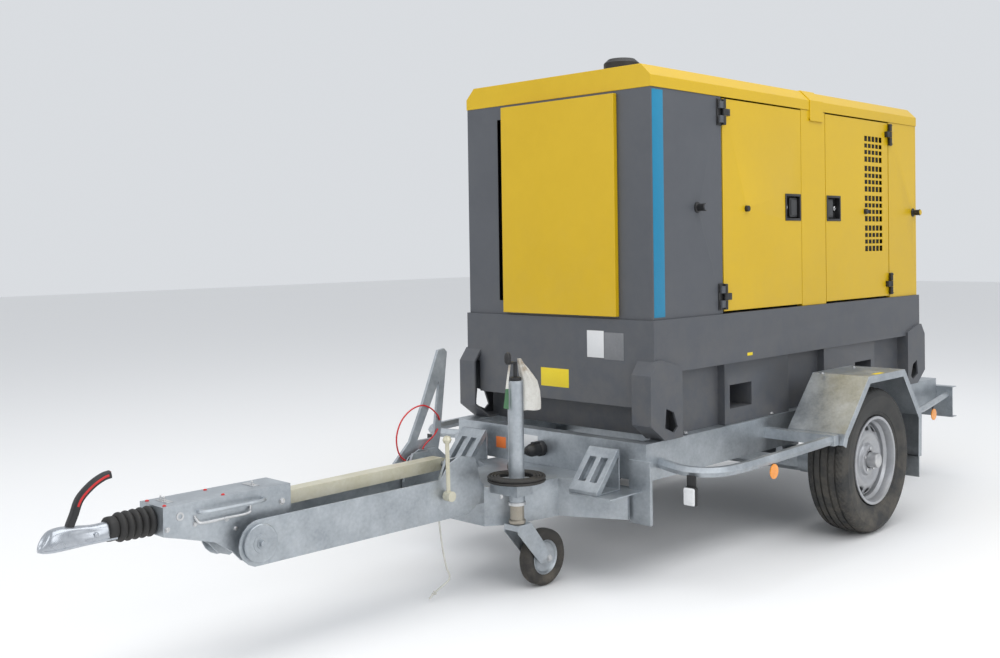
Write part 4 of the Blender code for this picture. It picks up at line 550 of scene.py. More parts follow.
def plaited(line, radius, strands=3, pitch=0.016, sides=18):
    """A tube whose radius swells and sinks round a helix: strands lie as crests that wind once each pitch."""
    run = np.concatenate([[0], np.cumsum(np.linalg.norm(np.diff(line, axis=0), axis=1))])
    around = np.linspace(0, 2 * np.pi, sides + 1)[:-1]
    swell = 0.86 + 0.14 * np.abs(np.cos(0.5 * strands * (around[None] - 2 * np.pi * run[:, None] / pitch)))
    base = sweep(line, circle(1.0, sides), up=(1, 0, 0.02), shut=False)
    middle = np.asarray(line)[:, None]
    rings = middle + (base - middle) * radius * swell[..., None]
    ends = np.broadcast_to(middle[[0, -1]], (2, sides, 3))
    return np.concatenate([ends[:1], rings, ends[1:]])


rope = shell("lock_rope_finished", [plaited(rope_line, ROPE_R)], cloth, "trailer", 60)
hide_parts("lock_rope")
knot_at = rope_line[-12]
knot = shell(
    "rope_knot",
    [plaited(knot_at + 0.006 * np.stack([np.cos(t), 0.9 * np.sin(2 * t), 0.8 * np.sin(t)], -1), 0.0028)
     for t in (np.linspace(0, 2 * np.pi, 30),)],
    cloth, "trailer", 60,
)

lever_low = 0.131
loop_y = lever_low - 0.0085
loop_points = [
    (AXLE - 1.746, lever_low - 0.0032, 0.626),
    (AXLE - 1.762, loop_y, 0.648),
    (AXLE - 1.800, loop_y, 0.680),
    (AXLE - 1.845, loop_y, 0.694),
    (AXLE - 1.900, loop_y, 0.682),
    (AXLE - 1.948, loop_y, 0.645),
    (AXLE - 1.972, loop_y, 0.590),
    (AXLE - 1.966, loop_y, 0.535),
    (AXLE - 1.940, loop_y, 0.500),
    (AXLE - 1.900, loop_y, 0.488),
    (AXLE - 1.858, loop_y, 0.508),
    (AXLE - 1.828, loop_y, 0.542),
    (AXLE - 1.785, loop_y, 0.568),
    (AXLE - 1.756, lever_low - 0.0032, 0.592),
]
loop_line = smooth_line(loop_points, 110)
red_sheath = finish(
    "red_sheath", (0.50, 0.012, 0.02), (0.60, 0.03, 0.03), 12.0, 0.28, 0.42, slot="red_plastic"
)
breakaway = shell(
    "breakaway_cable_finished", [sweep(loop_line, circle(0.003, 10), up=(0, 1, 0))], red_sheath,
    "handbrake_lever", 60
)
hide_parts("breakaway_cable")

# ------------------------------------------------------------------ trailer frame, axle and towbar steelwork
# Folded channels and plates, welded and then hot-dip galvanised whole: dull grey zinc with paler patches.
for node, edge in (
    ("chassis_frame", 0.003), ("drawbar_base", 0.0008), ("axle_beam", 0.002), ("left_swing_arm", 0.003),
    ("right_swing_arm", 0.003), ("left_mudguard", 0.0012), ("right_mudguard", 0.0012),
    ("rear_light_bar", 0.0012), ("drawbar_arm", 0.002), ("overrun_housing", 0.004),
    ("handbrake_lever", 0.0015), ("jockey_fork", 0.0012), ("jockey_tube", 0.0008),
    ("left_chock", 0.0015), ("right_chock", 0.0015)
):
    dress(node, zinc, edge, flatten=node != "drawbar_base")
cream_zinc = finish(
    "yellow_passivated_zinc", (0.55, 0.52, 0.38), (0.66, 0.64, 0.54), 9.0, 0.32, 0.5, dirt=0.2,
    slot="passivated_steel", Metallic=0.45
)
dress("height_link", cream_zinc, 0.003)
dress("height_lock_lever", cream_zinc, 0.0012)
bright = finish(
    "greased_tube", (0.30, 0.27, 0.22), (0.42, 0.39, 0.34), 12.0, 0.25, 0.5, dirt=0.3,
    slot="bright_steel", Metallic=0.9
)
coat("jockey_inner", bright)
dark_steel = finish(
    "dark_steel", (0.05, 0.05, 0.05), (0.09, 0.085, 0.08), 16.0, 0.4, 0.6, slot="exhaust_steel",
    Metallic=0.8
)
bolt_zinc = finish(
    "bolt_zinc", (0.50, 0.51, 0.52), (0.66, 0.66, 0.66), 40.0, 0.25, 0.42, slot="bright_steel",
    Metallic=0.9
)

# ------------------------------------------------------------------ canopy, base and doors
# Folded steel sheet under polyester powder: yellow on roof, doors and panels, dark textured grey below.
yellow = finish(
    "yellow_powder_coat", (0.600, 0.385, 0.002), (0.640, 0.415, 0.004), 2.2, 0.30, 0.40, dirt=0.10,
    top=1.6, bump=0.00004, slot="yellow_paint"
)
grey = finish(
    "grey_powder_coat", (0.072, 0.078, 0.090), (0.088, 0.094, 0.106), 3.0, 0.42, 0.52, dirt=0.22,
    top=1.2, bump=0.0001, slot="grey_paint"
)
finish_foam = finish(
    "lining_foam", (0.030, 0.030, 0.031), (0.050, 0.050, 0.052), 30.0, 0.85, 0.95, bump=0.002,
    slot="black_plastic"
)
for node in ("front_panel", "roof_front", "roof_rear", "control_door", "centre_frame"):
    dress(node, yellow, 0.0025)
for node in ("left_front_door", "right_front_door", "left_rear_door", "right_rear_door"):
    dress(node, yellow, 0.0015)
dress("rear_wall", yellow, 0.0012)
dress("front_wall", grey, 0.0012)
dress("skid_base", grey, 0.0025)
dress("control_cubicle", grey, 0.002)

# ------------------------------------------------------------------ road wheels
# A 14 inch steel wheel: a rolled rim, a pressed disc with a ring of slots, and a drum behind it.
# The tyre is moulded rubber with four grooves and cut shoulders.
tyre_rubber = finish(
    "tyre_rubber", (0.020, 0.021, 0.022), (0.046, 0.046, 0.045), 9.0, 0.62, 0.82, dirt=0.26, top=0.65,
    slot="tyre_rubber"
)
silver = finish(
    "silver_wheel_enamel", (0.36, 0.37, 0.39), (0.46, 0.47, 0.49), 8.0, 0.28, 0.42, dirt=0.25, top=0.6,
    Metallic=0.5, slot="rim_paint"
)
WHEEL_Z = 0.325
TYRE_HALF_PROFILE = [
    (0.197, 0.066), (0.203, 0.075), (0.214, 0.0800), (0.2165, 0.0835), (0.222, 0.0840), (0.240, 0.0905),
    (0.258, 0.0940), (0.272, 0.0950), (0.284, 0.0945), (0.287, 0.0950), (0.291, 0.0925), (0.301, 0.0890),
    (0.3095, 0.0840), (0.3150, 0.0785), (0.3185, 0.0720), (0.3205, 0.0640),
]


def tyre_surface(centre, sides=288, blocks=72):
    """The section turned about the axle, with the crown lowered in grooves and in slanting cuts.

    The crown is a shallow arch across the tread.  Four bands of it sink by the groove depth, and
    between them each rib sinks again wherever a slanting saw-tooth of the angle passes a threshold.
    """
    across = np.array([0.058, 0.0545, 0.054, 0.0455, 0.045, 0.030, 0.0225, 0.022, 0.0135, 0.013, 0.006])
    crown = np.stack([0.3205 + 0.0045 * (1 - (across / 0.062) ** 2), across], -1)
    half = np.concatenate([TYRE_HALF_PROFILE, crown])
    section = np.concatenate([half, (half * (1, -1))[::-1]])
    around = np.linspace(0, 2 * np.pi, sides + 1)[:-1]
    place = section[:, 1:]
    off = np.abs(place)
    groove = ((off < 0.0541) & (off > 0.0453)) | ((off < 0.0222) & (off > 0.0134))
    tooth = (around[None] * blocks / (2 * np.pi) + place * 55) % 1.0
    shoulder = (off > 0.0543) & (off < 0.0800) & (section[:, :1] > 0.3140)
    sunk = 0.0075 * groove + 0.0045 * shoulder * (tooth < 0.25) + 0.0035 * (~groove & (off < 0.0543)) * (tooth < 0.125)
    radius = section[:, :1] - sunk
    points = np.stack(
        [radius * np.cos(around), np.broadcast_to(place, radius.shape), radius * np.sin(around)], -1
    )
    inner = points[[0, -1]] * (0.985, 1.0, 0.985)
    return np.concatenate([points, inner[1:], inner[:1], points[:1]]) + centre


def wheel_disc(name, centre, out, material, body, slots=14, per_slot=12):
    """A pressed disc: height is a curve of radius, and cells in each slot's window are left out."""
    profile = np.array(
        [
            (0.1680, 0.004), (0.1670, 0.012), (0.1620, 0.019), (0.1560, 0.024), (0.1530, 0.0262),
            (0.1485, 0.0295), (0.1440, 0.0325), (0.1395, 0.0350), (0.1350, 0.0372), (0.1300, 0.0395),
            (0.1200, 0.0430), (0.1100, 0.0435), (0.1000, 0.0410), (0.0900, 0.0365), (0.0800, 0.0335),
            (0.0720, 0.0345), (0.0670, 0.0400), (0.0640, 0.0480), (0.0600, 0.0500), (0.0380, 0.0500)
        ]
    )
    columns = slots * per_slot
    around = np.linspace(0, 2 * np.pi, columns + 1)[:-1]
    radius, height = profile[:, :1], profile[:, 1:]
    points = np.stack(
        [
            radius * np.cos(around), np.broadcast_to(out * height, (len(profile), columns)),
            radius * np.sin(around)
        ],
        -1
    ) + centre
    index = np.arange(points.shape[0] * columns).reshape(-1, columns)
    beside = np.roll(index, -1, axis=1)
    quads = np.stack([index[:-1], beside[:-1], beside[1:], index[1:]], -1)
    row = np.arange(len(profile) - 1)[:, None]
    column = np.arange(columns)[None] % per_slot
    window = ((row >= 4) & (row <= 8) & (column >= 3) & (column <= 8)) | (
        (row >= 5) & (row <= 7) & (column >= 2) & (column <= 9)
    )
    made = piece(name, points.reshape(-1, 3), quads[~window].reshape(-1, 4), material, body)
    thick = made.modifiers.new("sheet", "SOLIDIFY")
    thick.thickness = 0.004
    thick.offset = 0.0
    return made


for side, word in ((-1, "left"), (1, "right")):
    hub = np.array([AXLE, side * 0.755, WHEEL_Z])
    body = f"{word}_wheel"
    tyre = shell(f"{word}_tyre_finished", [tyre_surface(hub)], tyre_rubber, body, 28)
    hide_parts(f"{word}_tyre")
    disc = wheel_disc(f"{word}_wheel_disc", hub, side, silver, body)
    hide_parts(f"{word}_rim")
    rolled_rim = [
        (0.184, 0.0800), (0.191, 0.0818), (0.1955, 0.0808), (0.1965, 0.0770), (0.1950, 0.0725),
        (0.1900, 0.0700), (0.1860, 0.0620), (0.1830, 0.0450), (0.1720, 0.0340), (0.1720, -0.0300),
        (0.1830, -0.0450), (0.1860, -0.0640), (0.1950, -0.0725), (0.1965, -0.0790), (0.1910, -0.0818),
        (0.1840, -0.0800), (0.1790, -0.0640), (0.1770, -0.0480), (0.1670, -0.0340), (0.1670, 0.0360),
        (0.1770, 0.0480), (0.1790, 0.0660), (0.184, 0.0800)
    ]
    shell(
        f"{word}_wheel_rim", [lathe([(r, side * h) for r, h in rolled_rim], hub, "y", 96)], silver,
        body, 30
    )
    hub_profile = [
        (0, 0.0970), (0.026, 0.0970), (0.031, 0.0940), (0.033, 0.0880), (0.0335, 0.0600),
        (0.0345, 0.0520), (0.0345, 0.0), (0, 0)
    ]
    shell(f"{word}_hub_cap", [lathe([(r, side * h) for r, h in hub_profile], hub, "y", 36)], bolt_zinc, body)
    nuts = []
    for turn in np.arange(5) * 2 * np.pi / 5 + 0.3:
        centre = hub + (0.0505 * math.cos(turn), side * 0.0500, 0.0505 * math.sin(turn))
        nuts += bolt(centre, "y", side, 0.0105)
    shell(f"{word}_wheel_nuts", nuts, bolt_zinc, body)
    drum = [
        (0, -0.062), (0.122, -0.062), (0.126, -0.056), (0.126, 0.004), (0.118, 0.010), (0.060, 0.014),
        (0, 0.014)
    ]
    shell(f"{word}_brake_drum", [lathe([(r, side * h) for r, h in drum], hub, "y", 48)], dark_steel, body)

# ------------------------------------------------------------------ door hinges, stops and latches
# Black cast hinges with their pins, stop pegs, and folding latches in moulded trays.
HALF = 0.5075
HINGE_LINE = 0.5195
FRONT_HINGE, REAR_HINGE = 0.2655, 1.8205
HINGE_ZS = (1.0785, 1.8500)
PEG_Z = 1.450
PEG_REACH = {"front": 0.185, "rear": 0.290}
STUD_REACH = {"front": 0.185, "rear": 0.265}
PEG_SECTION = [
    (0, 0.006), (0.0225, 0.006), (0.0225, 0.0088), (0.0165, 0.0100), (0.0150, 0.0120), (0.0150, 0.0400),
    (0.0165, 0.0420), (0.0165, 0.0462), (0.0140, 0.0480), (0, 0.0480),
]
satin_black = finish(
    "satin_black_casting", (0.012, 0.012, 0.013), (0.022, 0.022, 0.023), 20.0, 0.32, 0.48,
    slot="black_plastic"
)
paddle_grey = finish(
    "latch_paddle", (0.030, 0.031, 0.033), (0.042, 0.043, 0.045), 20.0, 0.35, 0.5, slot="black_plastic"
)
chrome = finish(
    "bright_chrome", (0.62, 0.62, 0.63), (0.70, 0.70, 0.70), 30.0, 0.10, 0.2, Metallic=1.0,
    slot="bright_steel"
)
for side, word in ((-1, "left"), (1, "right")):
    for hinge_x, end, toward in ((FRONT_HINGE, "front", 1), (REAR_HINGE, "rear", -1)):
        door = f"{word}_{end}_door"
        wall_parts, door_parts = [], []
        for z in HINGE_ZS:
            wall_parts += [
                block(
                    (hinge_x - toward * 0.040, side * 0.5070, z - 0.056),
                    (hinge_x - toward * 0.001, side * 0.5120, z + 0.056), 0.002
                ),
                block(
                    (hinge_x - toward * 0.036, side * 0.5090, z - 0.052),
                    (hinge_x - toward * 0.003, side * 0.5175, z - 0.016), 0.003
                ),
                block(
                    (hinge_x - toward * 0.036, side * 0.5090, z + 0.016),
                    (hinge_x - toward * 0.003, side * 0.5175, z + 0.052), 0.003
                ),
                rod(
                    (hinge_x, side * HINGE_LINE, z - 0.054), (hinge_x, side * HINGE_LINE, z - 0.0155),
                    0.0098, 20
                ),
                rod(
                    (hinge_x, side * HINGE_LINE, z + 0.0155), (hinge_x, side * HINGE_LINE, z + 0.054),
                    0.0098, 20
                )
            ]
            for dz in (-0.036, 0.036):
                wall_parts.append(
                    lathe(
                        [(0, 0), (0.0058, 0), (0.0052, side * 0.0022), (0, side * 0.003)],
                        (hinge_x - toward * 0.024, side * 0.5172, z + dz), "y", 14
                    )
                )
            door_parts += [
                block(
                    (hinge_x + toward * 0.0015, side * 0.5076, z - 0.0148),
                    (hinge_x + toward * 0.040, side * 0.5258, z + 0.0148), 0.0025
                ),
                rod(
                    (hinge_x, side * HINGE_LINE, z - 0.0148), (hinge_x, side * HINGE_LINE, z + 0.0148),
                    0.0098, 20
                )
            ]
        peg_x = hinge_x - toward * PEG_REACH[end]
        wall_parts += [
            lathe([(r, side * h) for r, h in PEG_SECTION], (peg_x, side * (HALF - 0.0055), PEG_Z), "y", 24),
        ]
        shell(f"{door}_wall_hinges", wall_parts, satin_black, "trailer", 30)
        stud_x = hinge_x + toward * STUD_REACH[end]
        stud = [(0, 0.0), (0.0135, 0.0), (0.0135, 0.0040), (0.0128, 0.0140), (0.0110, 0.0152), (0, 0.0152)]
        door_parts.append(
            lathe([(r, side * h) for r, h in stud], (stud_x, side * (HALF + 0.0002), PEG_Z), "y", 20)
        )
        shell(f"{door}_hinges", door_parts, satin_black, door, 30)

        free = 0.9215 if end == "front" else 1.1545
        middle = free - toward * 0.075
        tray_y = side * (HALF - 0.0238)
        face_y = side * (HALF + 0.0030)
        low_z, high_z = 1.461 - 0.0570, 1.461 + 0.0570
        tray = [
            block(
                (middle - 0.0648, tray_y, low_z + 0.0002),
                (middle + 0.0648, side * (HALF - 0.0215), high_z - 0.0002), 0.0005
            )
        ]
        for x0, x1, z0, z1 in (
            (-0.069, -0.058, low_z - 0.004, high_z + 0.004), (0.058, 0.069, low_z - 0.004, high_z + 0.004),
            (-0.060, 0.060, low_z - 0.004, low_z + 0.007), (-0.060, 0.060, high_z - 0.007, high_z + 0.004),
        ):
            tray.append(block((middle + x0, side * (HALF + 0.0002), z0), (middle + x1, face_y, z1), 0.0012))
        for x0, x1, z0, z1 in (
            (-0.0648, -0.0600, low_z, high_z), (0.0600, 0.0648, low_z, high_z),
            (-0.0640, 0.0640, low_z, low_z + 0.005), (-0.0640, 0.0640, high_z - 0.005, high_z)
        ):
            tray.append(
                block(
                    (middle + x0, tray_y, z0 + 0.0002),
                    (middle + x1, side * (HALF + 0.0010), z1 - 0.0002), 0.0008
                )
            )
        shell(f"{door}_latch_tray", tray, satin_black, door, 30)
        low, high = (np.array(v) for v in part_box(f"{door}_latch"))
        back = high if side < 0 else low
        grip = shell(
            f"{door}_latch_paddle",
            [
                block(
                    (low[0] + 0.001, back[1], low[2] + 0.001),
                    (high[0] - 0.001, side * (HALF - 0.0080), high[2] - 0.001), 0.004
                ),
                block(
                    (low[0] + 0.006, side * (HALF - 0.0090), low[2] + 0.010),
                    (high[0] - 0.010, side * (HALF - 0.0040), high[2] - 0.010), 0.004
                )
            ],
            paddle_grey, f"{door}_latch", 30
        )
        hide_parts(f"{door}_latch")
        lock_at = (middle - toward * 0.040, side * (HALF - 0.0216), 1.461)
        lock = [
            (0, 0.0), (0.0125, 0.0), (0.0125, 0.0080), (0.0110, 0.0100), (0.0040, 0.0100),
            (0.0036, 0.0080), (0, 0.0080)
        ]
        shell(f"{door}_lock", [lathe([(r, side * h) for r, h in lock], lock_at, "y", 24)], chrome, door)
        if end == "rear":
            bars = []
            for column in range(5):
                x = hinge_x + toward * (0.088 + 0.040 * column)
                for row in range(4):
                    for share in (1, 2, 3):
                        z = 1.250 + 0.150 * row + 0.130 * share / 4
                        bars.append(
                            block(
                                (x - 0.0165, side * (HALF - 0.0029), z - 0.0058),
                                (x + 0.0165, side * (HALF - 0.0001), z + 0.0058), 0.0008
                            )
                        )
            shell(f"{door}_grille_bars", bars, yellow, door)
        x0, x1 = sorted((hinge_x + toward * 0.012, free - toward * 0.155))
        shell(
            f"{door}_foam",
            [
                block(
                    (x0, side * (HALF - 0.0270), 1.030),
                    (x1, side * (HALF - (0.0200 if end == "rear" else 0.0040)), 1.895), 0.004
                )
            ],
            finish_foam, door
        )

# ------------------------------------------------------------------ coupling, bellows and overrun housing
# A pressed ball coupling, galvanised, on a bright draw tube that slides into the overrun housing.
# A folded rubber boot keeps dirt off the tube, and a black handle with red trim frees the ball.
DRAW_Z = 0.495
NOSE_X = -2.4205
BALL_X = NOSE_X + 0.037
NECK_X = -2.1975


def head_surface(columns=96, climbs=22):
    """The coupling head as rings round the ball's axis.

    From the socket's crown a sphere of 25.5 mm comes down to the mouth, the flange goes out to the plan
    outline and up 7 mm, and the body climbs over with half-width w(x) cos(a) and height h(x) sin(a)^0.7,
    nipped in by 22% at mid height along each flank, until both sides meet on the ridge.
    """
    side = columns // 2
    share = np.linspace(0, 1, side + 1)
    tip_x, end_x = NOSE_X + 0.001, NECK_X
    x = tip_x + (end_x - tip_x) * share**1.5
    knots = [
        (tip_x, 0.0, 0.010), (tip_x + 0.006, 0.0195, 0.026), (tip_x + 0.018, 0.0310, 0.043),
        (tip_x + 0.037, 0.0365, 0.056), (tip_x + 0.070, 0.0355, 0.060), (tip_x + 0.120, 0.0300, 0.054),
        (tip_x + 0.165, 0.0290, 0.049), (end_x, 0.0305, 0.052)
    ]
    outline = smooth_line(knots, 240)
    half = np.interp(x, outline[:, 0], outline[:, 1])
    high = np.interp(x, outline[:, 0], outline[:, 2])
    low = 0.4680
    plan = np.concatenate([np.stack([x, -half], -1), np.stack([x, half], -1)[::-1][1:-1]])
    tall = np.concatenate([high, high[::-1][1:-1]])
    turn = np.arctan2(plan[:, 1], plan[:, 0] - BALL_X)
    rows = []
    for a in np.linspace(0, np.pi / 2, 9):
        r, z = 0.0255 * np.sin(a), 0.4790 + 0.0255 * np.cos(a)
        rows.append(np.stack([BALL_X + r * np.cos(turn), r * np.sin(turn), np.full(len(turn), z)], -1))
    rows.append(
        np.stack([BALL_X + 0.0255 * np.cos(turn), 0.0255 * np.sin(turn), np.full(len(turn), low)], -1)
    )
    rim = np.concatenate([plan, np.full((len(plan), 1), low)], 1)
    rows += [rim * (1, 0.97, 1), rim + (0, 0, 0.001), rim + (0, 0, 0.006)]
    flank = np.exp(-(((plan[:, 0] - (NOSE_X + 0.120)) / 0.055) ** 2))
    for a in np.linspace(0.0, np.pi / 2, climbs):
        nip = 1 - 0.22 * flank * np.exp(-(((a - 0.50) / 0.28) ** 2))
        inset = 0.90 * np.cos(a) ** 0.75 * nip
        z = low + 0.007 + (tall - 0.007) * np.sin(a) ** 0.7
        toward = np.clip((plan[:, 0] - tip_x) / 0.05, 0, 1)
        x_in = plan[:, 0] + (BALL_X - plan[:, 0]) * (1 - np.cos(a)) * 0.55 * (1 - toward)
        rows.append(np.stack([x_in, plan[:, 1] * inset, z], -1))
    return np.stack(rows)


pressed_zinc = finish(
    "bright_zinc", (0.36, 0.385, 0.42), (0.55, 0.575, 0.61), 9.0, 0.22, 0.38, dirt=0.15, top=0.5,
    slot="galvanised_steel", Metallic=0.85
)
glossy_red = finish(
    "red_plastic", (0.50, 0.012, 0.012), (0.62, 0.02, 0.02), 9.0, 0.35, 0.5, slot="red_plastic"
)
head = shell(
    "coupling_shell",
    [head_surface(), rod((NECK_X - 0.018, 0, DRAW_Z), (-1.8895, 0, DRAW_Z), 0.025, 40, 0.002)]
    + bolt((NECK_X - 0.062, -0.0225, 0.492), "y", -1, 0.0085)
    + bolt((NECK_X - 0.062, 0.0225, 0.492), "y", 1, 0.0085),
    pressed_zinc, "coupling", 40,
)
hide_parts("coupling_head")
cuff = [
    (0.0255, 0.0), (0.0330, 0.0), (0.0360, 0.003), (0.0368, 0.010), (0.0360, 0.024), (0.0330, 0.0295),
    (0.0255, 0.0295)
]
shell(
    "boot_cuff", [lathe([(0, 0.0)] + cuff + [(0, 0.0295)], (NECK_X - 0.0225, 0, DRAW_Z), "x", 48)],
    black_rubber, "coupling", 50
)

BOOT_FRONT, BOOT_REAR = -2.1902, -2.0748


def boot_surface(folds=5, per_fold=14, sides=64):
    """Radius r(u) = 0.0365 + 0.0100 |sin(pi n u)|^0.8 over n folds, growing a little towards the housing."""
    u = np.linspace(0, 1, folds * per_fold + 1)
    r = 0.0360 + 0.0105 * np.abs(np.sin(np.pi * folds * u)) ** 0.8 * (0.75 + 0.25 * u)
    inner = 0.0262
    x = u * (BOOT_REAR - BOOT_FRONT)
    profile = [(inner, x[0])] + list(zip(r, x)) + [(inner, x[-1])] + [(inner, h) for h in x[::-1][1:]]
    return lathe(profile, (BOOT_FRONT, 0, DRAW_Z), "x", sides)


boot = shell("boot", [boot_surface()], black_rubber, "overrun_housing", 60)
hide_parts("bellows")
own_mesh(boot)

handle_line = smooth_line(
    [
        (-2.3300, 0, 0.5180), (-2.3240, 0, 0.5335), (-2.3140, 0, 0.5560), (-2.2960, 0, 0.5985),
        (-2.2600, 0, 0.6320), (-2.2250, 0, 0.6505), (-2.2030, 0, 0.6550)
    ],
    48
)
grip_section = np.array(
    [
        (
            math.copysign(abs(math.cos(a)) ** 0.6, math.cos(a)) * 0.0125,
            math.copysign(abs(math.sin(a)) ** 0.6, math.sin(a)) * 0.0098
        )
        for a in np.linspace(0, 2 * np.pi, 25)[:-1]
    ]
)
handle_piece = shell(
    "handle_grip", [sweep(handle_line, grip_section[:, ::-1] * (1.2, 1.0), up=(0, 1, 0))],
    black_plastic, "coupling_handle", 45
)
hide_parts("coupling_handle")
trim = []
for side in (-1, 1):
    edge_line = handle_line[20:45] + (0, side * 0.0122, 0.0002)
    trim.append(sweep(edge_line, circle(0.0022, 10) * (1.7, 0.5), up=(0, 1, 0)))
trim.append(sweep(handle_line[42:] + (0, 0, 0.0085), circle(0.0042, 12) * (0.5, 2.4), up=(0, 1, 0)))
shell("handle_trim", trim, glossy_red, "coupling_handle", 45)

housing_side = -0.0702
fittings = []
for x, z, size in (
    (-2.0616, 0.4752, 0.0085), (-1.9693, 0.4755, 0.0080), (-1.8596, 0.4711, 0.0085),
    (-1.6542, 0.4900, 0.0110), (-1.8285, 0.4348, 0.0075)
):
    fittings += bolt((x, housing_side, z), "y", -1, size)
    fittings += bolt((x, -housing_side, z), "y", 1, size)
for side in (-1, 1):
    ring = [(0.0065, 0), (0.0135, 0), (0.0130, side * 0.0016), (0.0070, side * 0.0016), (0.0065, 0)]
    fittings.append(lathe(ring, (-2.0190, -side * housing_side, 0.5076), "y", 28))
for x in (-2.0250, -1.7200):
    nipple = [
        (0, 0), (0.0060, 0), (0.0060, 0.0050), (0.0030, 0.0065), (0.0030, 0.0100), (0.0042, 0.0120),
        (0.0030, 0.0150), (0, 0.0155)
    ]
    for y in (0.012, 0.034) if x < -1.9 else (0.0,):
        fittings.append(lathe(nipple, (x, y, 0.5428), "z", 6 if y == 0.034 else 16))
    fittings.append(block((x - 0.012, -0.024, 0.5429), (x + 0.012, 0.044, 0.5449), 0.0008))
shell("housing_fittings", fittings, bolt_zinc, "overrun_housing", 30)
grab_line = smooth_line(
    [
        (-1.9713, -0.0700, 0.5009), (-1.9683, -0.0776, 0.4894), (-1.9533, -0.0850, 0.4778),
        (-1.8731, -0.0860, 0.4778), (-1.7930, -0.0850, 0.4778),
        (-1.7780, -0.0776, 0.4894), (-1.7750, -0.0700, 0.5009),
    ],
    40,
)
shell("grab_handle", [sweep(grab_line, circle(0.0045, 12), up=(0, 0, 1))], bolt_zinc, "overrun_housing", 40)
caps = []
for x, y in ((-2.0600, -0.052), (-1.8600, -0.052), (-2.0600, 0.052), (-1.8600, 0.052)):
    caps.append(
        lathe(
            [(0, 0), (0.0060, 0), (0.0058, 0.0022), (0.0035, 0.0042), (0, 0.0046)], (x, y, 0.5429), "z",
            18
        )
    )
shell("red_caps", caps, glossy_red, "overrun_housing", 40)

pivots = []
for side in (-1, 1):
    dish = [
        (0, 0.0100), (0.0520, 0.0100), (0.0560, 0.0085), (0.0590, 0.0100), (0.0610, 0.0080),
        (0.0600, 0.0), (0, 0.0)
    ]
    face = side * 0.1140
    pivots.append(lathe([(r, side * (0.0004 + h)) for r, h in dish[::-1]], (-1.7695, face, 0.3850), "y", 56))
    boss = [(0, 0.0), (0.0300, 0.0), (0.0290, 0.0020), (0.0180, 0.0020), (0.0170, 0.0045), (0, 0.0045)]
    pivots.append(lathe([(r, side * h) for r, h in boss], (-1.7695, face + side * 0.0100, 0.3850), "y", 40))
    pivots += bolt((-1.7695, face + side * 0.0144, 0.3850), "y", side, 0.0130)
    pivots += bolt((-1.0400, side * 0.0700, 0.3172), "z", -1, 0.0100)
shell("arm_pivots", pivots, zinc, "drawbar_arm", 30)
ear_bolts = []
for side in (-1, 1):
    ear_bolts += bolt((-0.8873, side * 0.0982, 0.4960), "y", side, 0.0120)
ear_bolts += bolt((-0.8338, -0.2610, 0.3900), "y", -1, 0.0080)
shell("ear_bolts", ear_bolts, bolt_zinc, "trailer", 30)

# ------------------------------------------------------------------ jockey wheel, crank and its bag
# A solid rubber tyre on a pressed steel disc, in a greasy fork; the crank on top is black.
# A cloth bag is tied over the crank handle, stained where it is gathered, with a green hem beyond it.
JOCKEY = np.array([-0.7055, -0.2185])
JOCKEY_HUB = (-0.5695, -0.2185, 0.108)
half_tyre = [
    (0.0655, 0.0170), (0.0690, 0.0215), (0.0800, 0.0250), (0.0920, 0.0270), (0.1000, 0.0258),
    (0.1055, 0.0205), (0.1075, 0.0120), (0.1079, 0.0)
]
tyre_ring = half_tyre + [(r, -h) for r, h in half_tyre[::-1][1:]] + [(0.0655, 0.0170)]
jockey_rubber = finish(
    "dusty_rubber", (0.018, 0.017, 0.016), (0.048, 0.044, 0.039), 18.0, 0.6, 0.85, dirt=0.35, top=0.2,
    slot="tyre_rubber"
)
small_tyre = shell("jockey_tyre", [lathe(tyre_ring, JOCKEY_HUB, "y", 64)], jockey_rubber, "jockey_wheel", 40)
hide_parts("jockey_wheel")
half_disc = [
    (0.0080, 0.0290), (0.0150, 0.0290), (0.0160, 0.0275), (0.0165, 0.0130), (0.0230, 0.0100),
    (0.0480, 0.0080), (0.0560, 0.0110), (0.0600, 0.0180), (0.0640, 0.0200), (0.0665, 0.0185)
]
disc_ring = half_disc + [(r, -h) for r, h in half_disc[::-1]] + [(0.0080, 0.0290)]
shell("jockey_disc", [lathe(disc_ring, JOCKEY_HUB, "y", 56)], zinc, "jockey_wheel", 35)
axle_nuts = []
for side in (-1, 1):
    axle_nuts += bolt((JOCKEY_HUB[0], JOCKEY_HUB[1] + side * 0.0371, JOCKEY_HUB[2]), "y", side, 0.0125)
shell("jockey_axle_nuts", axle_nuts, bolt_zinc, "jockey_fork", 30)
swivel = [(0, 0.0), (0.0300, 0.0), (0.0320, 0.0020), (0.0320, 0.0120), (0.0285, 0.0160), (0, 0.0160)]
shell("jockey_swivel_ring", [lathe(swivel, (*JOCKEY, 0.2624), "z", 40)], bright, "jockey_inner", 35)
foot_ring = [
    (0.0302, 0.0), (0.0335, 0.0010), (0.0340, 0.0060), (0.0330, 0.0125), (0.0302, 0.0135), (0.0302, 0.0)
]
shell("jockey_tube_ring", [lathe(foot_ring, (*JOCKEY, 0.3312), "z", 40)], bolt_zinc, "trailer", 35)

